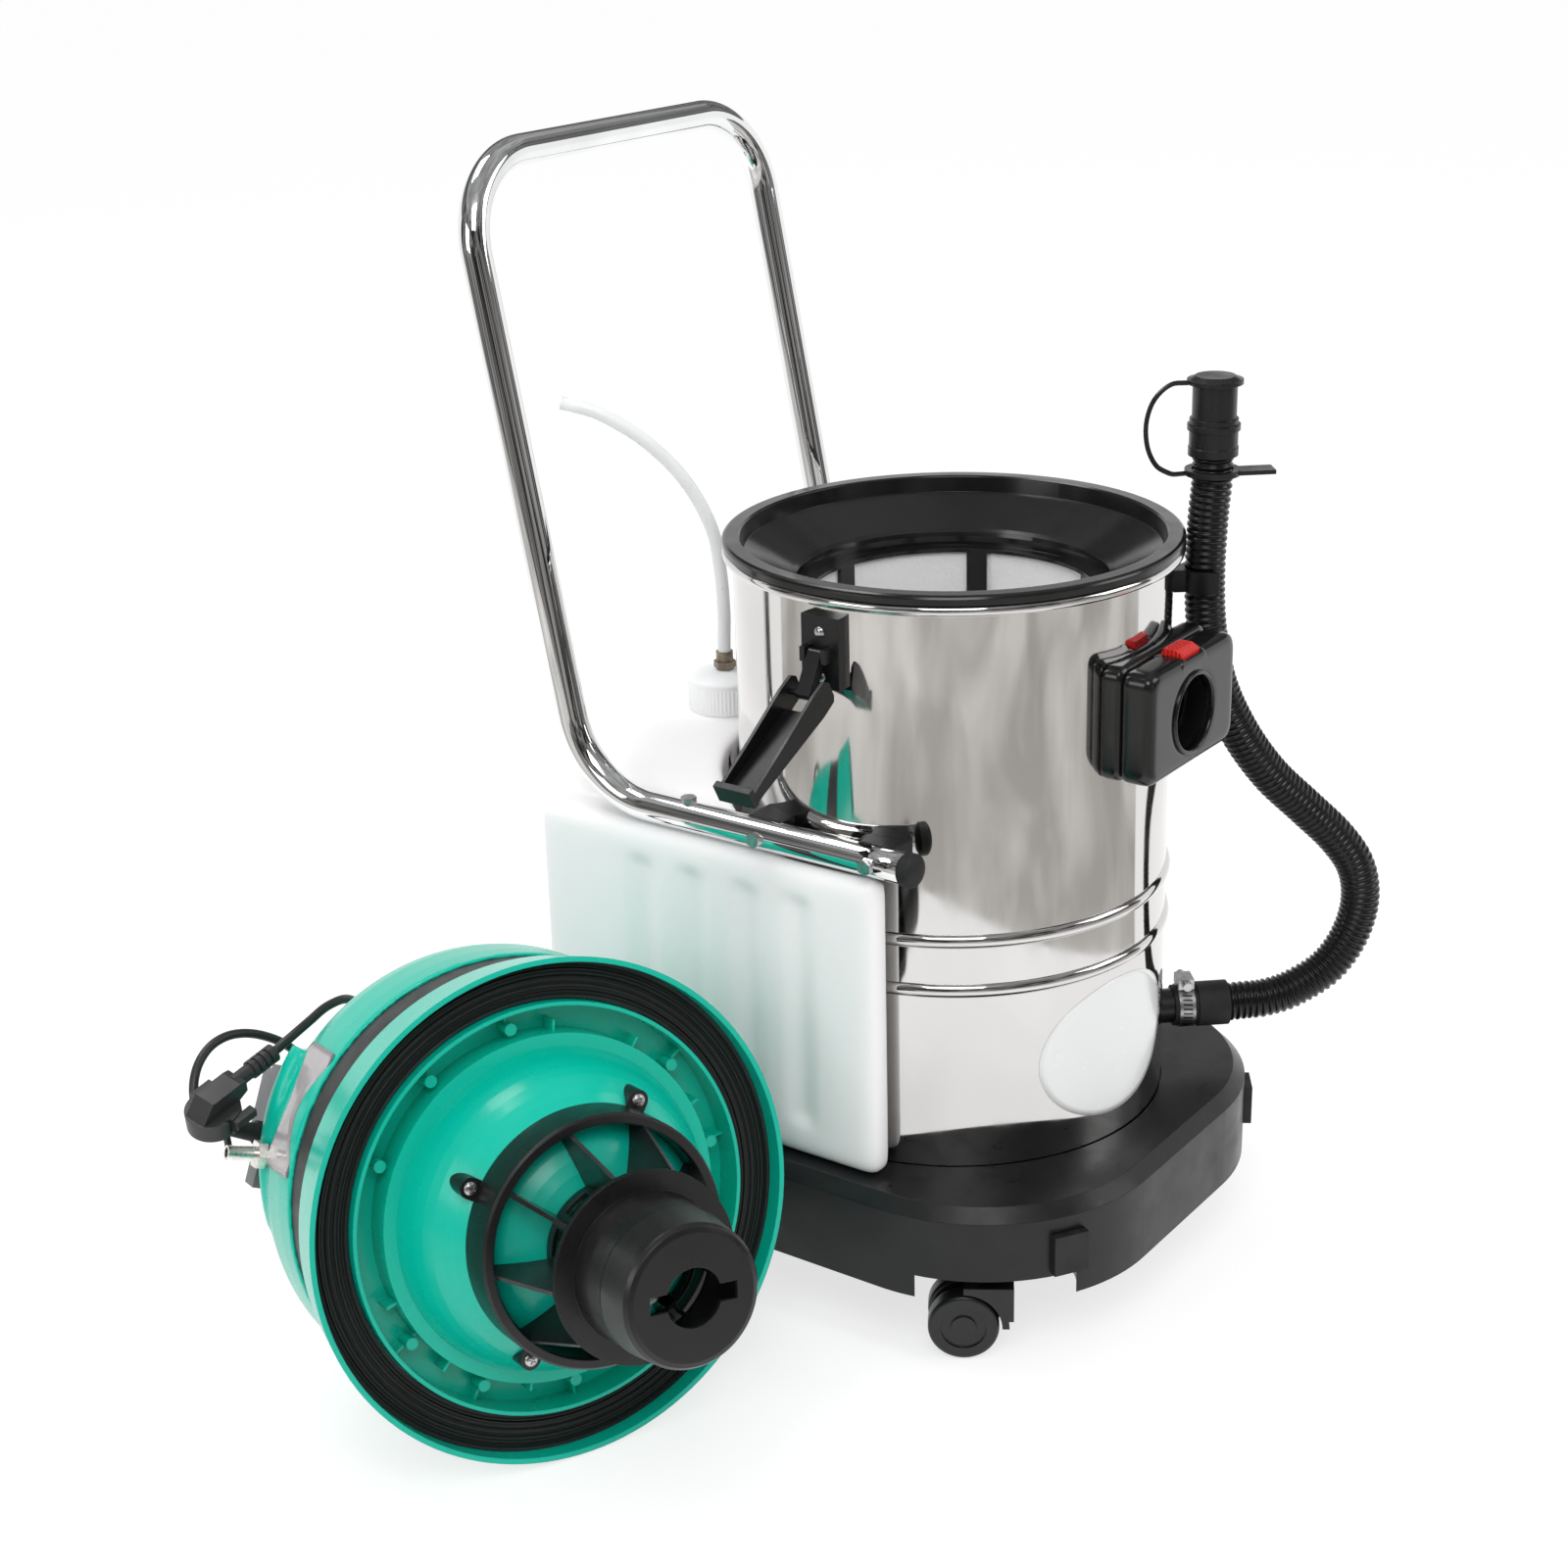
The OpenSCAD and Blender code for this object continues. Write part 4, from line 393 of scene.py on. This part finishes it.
def mains_cord():
    turns = LAYER_TURNS * LAYERS
    coil = np.array([coil_point(i / 48) for i in range(int(turns * 48) + 1)])
    a, b = fine_line(CORD_A, 10), fine_line(CORD_B, 10)
    line = np.concatenate([a[:-1], coil, b[1:]])
    total = lengths(line)[-1]
    line = spaced(line, int(total / 3.5))
    cord = tube("mains_cord", line, CORD_D / 2, 14, "head")
    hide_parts("mains_cord_a", "cord_coil", "mains_cord_b")
    sheath = plastic("cord_sheath", (0.026, 0.026, 0.026), (0.016, 0.016, 0.016), 0.36, grain=0.00003,
                     edge=0.0)
    return dress(cord, sheath)


mains_cord()

HOSE = [
    [137, -158, 160], [146, -168, 160.5], [157, -180.5, 161.5], [171, -196, 167.5], [187.5, -215.5, 184],
    [198.5, -228, 209], [203, -233, 238], [199.5, -229.5, 266], [188, -217.5, 291], [170, -199.5, 317],
    [149, -180, 346], [130, -164, 381], [115.5, -152, 420], [109, -145.2, 462], [107.5, -143, 502],
    [108, -143.8, 545], [109, -145.4, 575], [109, -145.4, 590]]
HOSE_RIBS = 112


def drain_hose():
    line = fine_line(HOSE, 10)
    per = 6
    line = spaced(line, HOSE_RIBS * per + 1)
    wave = np.cos(np.linspace(0, 2 * math.pi * HOSE_RIBS, HOSE_RIBS * per + 1))
    radius = 14.5 - 1.7 * (0.5 + 0.5 * wave) ** 1.6
    hose = tube("corrugated_hose", line, radius, 40, "root", bore=10.6)
    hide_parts("drain_hose")
    black = plastic("hose_plastic", (0.008, 0.008, 0.008), (0.005, 0.005, 0.005), 0.24, grain=0.00002,
                    edge=0.0)
    return dress(hose, black.set(Specular_IOR_Level=0.36))


drain_hose()

SOLUTION = [
    [0, 205, 385], [0, 205, 412], [0, 205, 425], [1, 205, 448], [1, 207, 480], [-3, 211, 514],
    [-13, 226, 550], [-27, 249, 579], [-42, 273, 598], [-52, 290, 606], [-60, 303, 610]]


def solution_tube():
    line = fine_line(SOLUTION, 10)
    o = tube("solution_line", line, 5.0, 32, "root", start=(1, 0, 0), bore=3.4)
    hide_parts("solution_tube")
    return dress(o, CLEAR)


solution_tube()

# ---------------------------------------------------------------- handle
def handle():
    arm, heel, crown, lean, rise = 168, 70, 65, math.radians(11), 450
    up = np.array([0, math.sin(lean), math.cos(lean)])
    corner = np.array([arm, 205.0, 358.0])
    top = corner + rise * up
    sweep = math.radians(90) - lean
    run = heel * math.tan(sweep / 2)
    half = [np.array([arm, -68.0, 358.0]), np.array([arm, -40.0, 358.0])]
    for k in range(29):
        a = sweep * k / 28
        half.append(corner + [0, heel * math.sin(a) - run, heel * (1 - math.cos(a))])
    for k in range(29):
        a = math.pi / 2 * k / 28
        half.append(top + np.array([-crown * (1 - math.cos(a)), 0, 0]) - crown * (1 - math.sin(a)) * up)
    line = half + [q * [-1, 1, 1] for q in reversed(half)]
    o = tube("push_handle", line, 11.0, 56, "root", start=(1, 0, 0), bore=9.5)
    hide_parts("handle_tube")
    return dress(o, CHROME)


handle()


# ---------------------------------------------------------------- softened mouldings
BUTTON_TRAVEL = Vector((0, 0, -0.003))
WELL_GROWTH = 1.035


def applied(o):
    """The mesh that an object's modifiers make."""
    return bpy.data.meshes.new_from_object(o.evaluated_get(bpy.context.evaluated_depsgraph_get()))


def with_well(o, mesh, sharp, button):
    """Puts the surface back where the CAD has it round the moving button, and cuts a well for its travel."""
    near = np.array([NODES[button].matrix_world @ Vector(c) for c in NODES[button].bound_box])
    low, high = near.min(axis=0) - 0.006, near.max(axis=0) + 0.003
    for v, w in zip(mesh.vertices, sharp.vertices):
        if all(low[k] < w.co[k] < high[k] for k in range(3)):
            v.co = w.co
    mid = Vector((low + high) / 2 + [0, 0, 0.0015])
    grown = Matrix.Translation(mid) @ Matrix.Scale(WELL_GROWTH, 4) @ Matrix.Translation(-mid)
    for step in (0.0, 0.5, 1.0):
        cut = bpy.data.objects.new("cut", NODES[button].data)
        SCENE.collection.objects.link(cut)
        cut.matrix_world = Matrix.Translation(BUTTON_TRAVEL * step) @ grown @ NODES[button].matrix_world
        o.data = mesh
        well = o.modifiers.new("well", "BOOLEAN")
        well.object, well.operation, well.solver = cut, "DIFFERENCE", "EXACT"
        mesh = applied(o)
        o.modifiers.clear()
        bpy.data.objects.remove(cut)
    return mesh


def softened(node, name, voxel, passes, body, button=None):
    """A copy of a CAD node's mesh, remeshed and smoothed so that every edge rolls over as in a moulding."""
    o = bpy.data.objects.new(name, NODES[node].data.copy())
    SCENE.collection.objects.link(o)
    remesh = o.modifiers.new("remesh", "REMESH")
    remesh.mode, remesh.voxel_size = "VOXEL", voxel
    sharp = applied(o)
    smooth = o.modifiers.new("smooth", "SMOOTH")
    smooth.factor, smooth.iterations = 0.5, passes
    mesh = applied(o)
    o.modifiers.clear()
    if button:
        mesh = with_well(o, mesh, sharp, button)
    bpy.data.meshes.remove(sharp)
    o.data = mesh
    mesh.name = name
    mesh.polygons.foreach_set("use_smooth", [True] * len(mesh.polygons))
    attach(o, body)
    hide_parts(node)
    return o


def hill(x, half):
    """1 in the middle, falling softly to 0 at half on either side."""
    return math.cos(math.pi / 2 * min(1.0, abs(x) / half)) ** 2


FLUTES_Y, FLUTE_LOW, FLUTE_HIGH = (14, 58, 105, 150), 143, 328
FLUTE_HALF, FLUTE_DEPTH, FLUTE_END = 18, 0.0042, 14
TANK_SIDE_X, TANK_DECK_Z, HUMP_FLAT, HUMP_SHOULDER = 160, 346.5, 62, 92


def blown_tank():
    """The tank as a blow moulding: rolled edges, shallow flutes in its sides and a rounded hump behind."""
    o = softened("solution_tank", "blown_tank", 0.0032, 26, "root")
    for v in o.data.vertices:
        x, y, z = v.co.x * 1000 + MID[0], v.co.y * 1000 + MID[1], v.co.z * 1000
        if abs(x) > TANK_SIDE_X:
            flute = max(hill(y - q, FLUTE_HALF) for q in FLUTES_Y)
            ends = min(1.0, max(0.0, (z - FLUTE_LOW) / FLUTE_END))
            ends *= min(1.0, max(0.0, (FLUTE_HIGH - z) / FLUTE_END))
            v.co.x -= math.copysign(FLUTE_DEPTH * flute * ends * ends * (3 - 2 * ends), x)
        if z > TANK_DECK_Z:
            u = min(1.0, max(0.0, (abs(x) - HUMP_FLAT) / HUMP_SHOULDER))
            v.co.z = (TANK_DECK_Z + (z - TANK_DECK_Z) * math.sqrt(1 - u * u)) / 1000
    return dress(o, WHITE)


blown_tank()
dress(softened("head_dome", "moulded_dome", 0.0017, 8, "head"), GREEN)
dress(softened("inlet_box", "inlet_front", 0.0013, 40, "root", "inlet_button"), BLACK_GLOSS)
dress(softened("inlet_plate", "inlet_back", 0.0013, 14, "root"), BLACK_GLOSS)
MOUTH_AT = at(12, -186, 436)


def bore_lip():
    """The raised round edge of the inlet's mouth."""
    place = Matrix.Translation(MOUTH_AT) @ Matrix.Rotation(math.pi / 2, 4, "X")
    profile = [(26.1, -6), (29.3, -6), (29.3, 0.4), (28.8, 1.4), (27.7, 1.8), (26.6, 1.3), (26.1, 0.2)]
    return dress(lathe("bore_lip", profile, 96, "root", place, closed=True), BLACK_GLOSS)


bore_lip()


# ---------------------------------------------------------------- filter cloth
def filter_cloth():
    top, low, r = 495.7, 299.2, 105.0
    rows = 60
    profile = [(0.5, low)] + [(r * q, low) for q in (0.25, 0.5, 0.75, 0.93)] + [(r * 0.985, low + 0.8)]
    profile += [(r, low + 3 + (top - low - 3) * i / rows) for i in range(rows + 1)]

    def pull(a, i):
        if i < 6:
            return 0
        t = (i - 6) / rows
        bay = abs(math.sin(3 * (a - math.radians(22))))
        return -1.0 * math.sin(math.pi * t) * bay + 0.35 * math.sin(23 * a + 9 * t) * math.sin(math.pi * t)

    o = lathe("filter_sleeve", profile, 216, "basket", Matrix.Translation(at(0, 0, 0)), ripple=pull)
    thick = o.modifiers.new("thick", "SOLIDIFY")
    thick.thickness, thick.offset = 0.0013, 0.0
    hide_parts("filter_cloth")
    return dress(o, FELT)


filter_cloth()


# ---------------------------------------------------------------- small things on the surfaces
def rounded_outline(w, h, r, n=10):
    """Outline of a rectangle of half sizes w and h with round corners, in millimetres."""
    out = []
    for k, (x, y) in enumerate([(w - r, h - r), (r - w, h - r), (r - w, r - h), (w - r, r - h)]):
        for i in range(n + 1):
            a = math.pi / 2 * (k + i / n)
            out.append((x + r * math.cos(a), y + r * math.sin(a)))
    return out


def oval_outline(w, h, n=96):
    return [(w * math.cos(2 * math.pi * i / n), h * math.sin(2 * math.pi * i / n)) for i in range(n)]


def patch(name, outline, to_point, low, high, body, rings=12):
    """A thin closed sheet that follows a curved surface. to_point(u, v, lift) gives its points."""
    n, points, faces = len(outline), [], []
    for lift in (high, low):
        points.append(to_point(0, 0, lift))
        for k in range(1, rings + 1):
            points += [to_point(u * k / rings, v * k / rings, lift) for u, v in outline]
    half = 1 + rings * n
    for base, flip in ((0, False), (half, True)):
        for i in range(n):
            j = (i + 1) % n
            f = [base, base + 1 + i, base + 1 + j]
            faces.append(f[::-1] if flip else f)
            for k in range(rings - 1):
                a = base + 1 + k * n
                f = [a + i, a + n + i, a + n + j, a + j]
                faces.append(f[::-1] if flip else f)
    edge = 1 + (rings - 1) * n
    for i in range(n):
        j = (i + 1) % n
        faces.append([edge + i, half + edge + i, half + edge + j, edge + j])
    return piece(name, points, faces, body)


def on_dome(u, v, lift):
    """A point over the side of the motor head's dome, across and along from the label's middle."""
    a, r = math.radians(238.5) + u / 155.3, 155.3 + lift
    return HEAD @ Vector(((r * math.cos(a) - 4.6) / 1000, (r * math.sin(a) - 3) / 1000, (-95.7 + v) / 1000))


def on_drum(u, v, lift):
    """A point over the drum, across and up from the sticker's middle."""
    a = math.radians(-99.5) + u / 155
    return at((155 + lift) * math.cos(a), (155 + lift) * math.sin(a), 192 + v)


def label_and_sticker():
    # The plate's colour holds painted glare. It is lighter and redder than the silver foil, standing in for
    # glare on the film and offsetting the green light that the head bounces onto it.
    plate = plastic("label_foil_painted_glare", (0.60, 0.53, 0.55), (0.54, 0.48, 0.50), 0.35, grain=0.00001, edge=0.0,
                    mottle=30.0)
    dress(patch("label_plate", rounded_outline(43.3, 21, 4), on_dome, 0.05, 0.35, "head"), plate)
    lines = piece("label_border", *frame_line(rounded_outline(40.5, 18.3, 2.5), 0.5, on_dome, 0.40), "head")
    dress(lines, GREY)
    dress(patch("label_film", rounded_outline(43.7, 21.4, 4), on_dome, 0.45, 0.60, "head"), FILM)
    paper = plastic("sticker_vinyl", (0.84, 0.845, 0.85), (0.80, 0.805, 0.81), 0.22, grain=0.00001, edge=0.0,
                    coat=0.3)
    dress(patch("oval_sticker", oval_outline(70, 52), on_drum, 0.05, 0.25, "root"), paper)


def frame_line(outline, width, to_point, lift):
    """A thin line just inside an outline, as points and faces."""
    n, points, faces = len(outline), [], []
    for u, v in outline:
        s = 1 - width / max(1.0, math.hypot(u, v))
        points += [to_point(u, v, lift), to_point(u * s, v * s, lift)]
    for i in range(n):
        j = (i + 1) % n
        faces.append([2 * i, 2 * i + 1, 2 * j + 1, 2 * j])
    return points, faces


label_and_sticker()


def cap_grip():
    """Fine upright ribs round the tank cap."""
    place = Matrix.Translation(at(0, 205, 0))
    low, high = 375.0, 394.0
    profile = [(27.9, low), (28.5, low + 1.2), (28.5, high - 1.5), (27.9, high)]

    def rib(a, i):
        return 0.45 * max(-0.3, math.cos(60 * a)) if 0 < i < 3 else 0

    return dress(lathe("cap_grip", profile, 480, "cap", place, ripple=rib), WHITE_CAP)


cap_grip()


def clamp_slots():
    """The slanted worm slots of the clamp's band."""
    a = math.radians(-49)
    axis = Vector((math.cos(a), math.sin(a), 0))
    side = Vector((0, 0, 1)).cross(axis)
    points, faces = [], []
    for k in range(30):
        t = 2 * math.pi * k / 30
        if abs(t - math.pi / 2) < 0.55:
            continue
        for dt, dx in ((-0.055, 2.4), (0.02, 2.4), (0.055, 9.6), (-0.02, 9.6)):
            r = 16.68
            q = at(0, 0, 160) + (axis * (170 + dx) + side * r * math.cos(t + dt)) / 1000
            points.append(q + Vector((0, 0, r * math.sin(t + dt) / 1000)))
        faces.append([len(points) - 4 + i for i in range(4)])
    return dress(piece("clamp_slots", points, faces, "root"), BLACK_SATIN)


clamp_slots()


# ---------------------------------------------------------------- materials of the CAD nodes
def paint(shader, slot, *names):
    for n in names:
        dress(NODES[n], shader)


CORNERS = ["front_left", "front_right", "rear_left", "rear_right"]
paint(BLACK, "black_plastic", "base_platform", "handle_spacers", "hose_clip")
for side in ("left", "right"):
    paint(BLACK, "black_plastic", *[f"latch_{part}_{side}" for part in ("plate", "link", "lever")])
paint(BLACK_GLOSS, "black_plastic", "filter_basket", "head_handle", "rocker_switch_motor",
      "rocker_switch_pump")
paint(BLACK_SATIN, "black_plastic", "float_cage")
paint(BLACK_SATIN, "black_satin", "hose_cuff_upper", "hose_cap", "hose_cap_strap",
      "float_ball", "drain_spout")
paint(BAND, "black_satin", "mains_plug")
paint(BLACK_SATIN, "black_satin", *[f"caster_{part}_{c}" for part in ("hood", "wheels") for c in CORNERS])
paint(RUBBER, "rubber_black", "base_bumpers", "handle_end_caps", "hose_cuff_lower", "strain_relief")
paint(BAND, "black_plastic", "head_band")
paint(GASKET, "rubber_black", "head_gasket")
paint(STEEL, "stainless", "drum_shell")
paint(ZINC, "zinc", "handle_bolts", "latch_screws", "cage_screws", "hose_clamp")
paint(WHITE_CAP, "white_plastic", "tank_cap")
paint(BRASS, "brass", "tank_fitting")
paint(CLEAR, "clear_tube", "tank_dip_tube")
paint(GREEN, "green_plastic", "head_lower_housing")
paint(RED, "red_plastic", "inlet_button")
paint(NICKEL, "nickel", "hose_barb")
paint(GREY, "grey_plastic", "switch_panel", "pump_body")
paint(MOTOR, "motor_grey", "motor_body", "motor_rotor")


# ---------------------------------------------------------------- stage and light
def stage_plane(name, size, place, turn=(0, 0, 0)):
    h = size / 2
    o = piece(name, [(-h, -h, 0), (h, -h, 0), (h, h, 0), (-h, h, 0)], [[0, 1, 2, 3]])
    o.location, o.rotation_euler = place, turn
    return o


def shown_to_eye(tree):
    """1 for camera, mirror and glass rays, 0 for the soft light of the room."""
    path = tree.nodes.new("ShaderNodeLightPath")
    out = path.outputs["Is Camera Ray"]
    for name in ("Is Glossy Ray", "Is Transmission Ray"):
        node = tree.nodes.new("ShaderNodeMath")
        node.operation = "MAXIMUM"
        tree.links.new(out, node.inputs[0])
        tree.links.new(path.outputs[name], node.inputs[1])
        out = node.outputs[0]
    return out


def make_floor():
    floor = stage_plane("floor", 60, (0, 0, -0.0008))
    mat = bpy.data.materials.new("floor")
    mat.use_nodes = True
    tree = mat.node_tree
    tree.nodes.clear()
    out = tree.nodes.new("ShaderNodeOutputMaterial")
    soft = tree.nodes.new("ShaderNodeBsdfDiffuse")
    soft.inputs["Color"].default_value = (0.36, 0.36, 0.36, 1)
    glow = tree.nodes.new("ShaderNodeEmission")
    glow.inputs["Color"].default_value = (0.72, 0.72, 0.72, 1)
    seen = tree.nodes.new("ShaderNodeAddShader")
    tree.links.new(soft.outputs[0], seen.inputs[0])
    tree.links.new(glow.outputs[0], seen.inputs[1])
    plain = tree.nodes.new("ShaderNodeBsdfDiffuse")
    plain.inputs["Color"].default_value = (0.8, 0.8, 0.8, 1)
    pick = tree.nodes.new("ShaderNodeMixShader")
    tree.links.new(shown_to_eye(tree), pick.inputs[0])
    tree.links.new(plain.outputs[0], pick.inputs[1])
    tree.links.new(seen.outputs[0], pick.inputs[2])
    tree.links.new(pick.outputs[0], out.inputs[0])
    floor.data.materials.append(mat)


def make_world():
    world = bpy.data.worlds.new("studio")
    SCENE.world = world
    world.use_nodes = True
    tree = world.node_tree
    tree.nodes.clear()
    out = tree.nodes.new("ShaderNodeOutputWorld")
    room = tree.nodes.new("ShaderNodeBackground")
    room.inputs["Color"].default_value = (1, 1, 1, 1)
    room.inputs["Strength"].default_value = 0.74
    white = tree.nodes.new("ShaderNodeBackground")
    white.inputs["Color"].default_value = (1, 1, 1, 1)
    white.inputs["Strength"].default_value = 1.0
    pick = tree.nodes.new("ShaderNodeMixShader")
    tree.links.new(shown_to_eye(tree), pick.inputs[0])
    tree.links.new(room.outputs[0], pick.inputs[1])
    tree.links.new(white.outputs[0], pick.inputs[2])
    tree.links.new(pick.outputs[0], out.inputs[0])


def mirrored(o, low, high, scale):
    """Makes a part of the room that only mirrors and gloss see, as behind the camera of a real studio."""
    s = Shader(o.name)
    cloud = s.noise(scale, 4, distortion=0.8)
    tone = s.blend(s.span(cloud, 0.0, 1.0, 0.38, 0.62), low, high)
    s.set(Base_Color=tone, Roughness=1.0, Specular_IOR_Level=0.0)
    o.data.materials.append(s.mat)
    o.visible_camera = o.visible_diffuse = o.visible_shadow = o.visible_transmission = False


def studio_room():
    """The dim room round the white floor sheet: its walls, its floor and its ceiling."""
    mid, half, r, high, n = math.radians(-144), math.radians(104), 3.1, 2.9, 48
    turn = [mid + half * (2 * k / n - 1) for k in range(n + 1)]
    ring = [(math.cos(a), math.sin(a)) for a in turn]
    wall = [(r * x, r * y, z) for x, y in ring for z in (0.0, high)]
    quads = [[2 * k, 2 * k + 2, 2 * k + 3, 2 * k + 1] for k in range(n)]
    mirrored(piece("room_wall", wall, quads), (0.015, 0.015, 0.016), (0.33, 0.32, 0.31), 1.2)
    ground = [(q * x, q * y, 0.003) for x, y in ring for q in (0.80, r)]
    mirrored(piece("room_floor", ground, quads), (0.40, 0.385, 0.365), (0.66, 0.645, 0.625), 1.6)
    top = [(-r, -r, high), (r, -r, high), (r, r, high), (-r, r, high)]
    mirrored(piece("room_ceiling", top, [[0, 1, 2, 3]]), (0.30, 0.30, 0.30), (0.55, 0.55, 0.55), 0.9)
    turn = [mid + half + (2 * math.pi - 2 * half) * k / n for k in range(n + 1)]
    wall = [(r * math.cos(a), r * math.sin(a), z) for a in turn for z in (1.5, high)]
    mirrored(piece("room_back", wall, quads), (0.08, 0.08, 0.08), (0.22, 0.22, 0.22), 1.2)


def lamp(name, place, size, power):
    data = bpy.data.lights.new(name, "AREA")
    data.shape, data.size, data.energy = "SQUARE", size, power
    o = bpy.data.objects.new(name, data)
    SCENE.collection.objects.link(o)
    o.location = place
    o.rotation_euler = (Vector((0, 0, 0.3)) - Vector(place)).to_track_quat("-Z", "Y").to_euler()


make_floor()
make_world()
lamp("key", (-1.7, -1.2, 2.6), 1.4, 28)
lamp("top", (-0.15, 1.1, 2.6), 0.9, 17)
lamp("left", (-2.3, 0.7, 1.3), 1.0, 9)
lamp("side", (1.4, -2.2, 1.7), 1.2, 13)
studio_room()
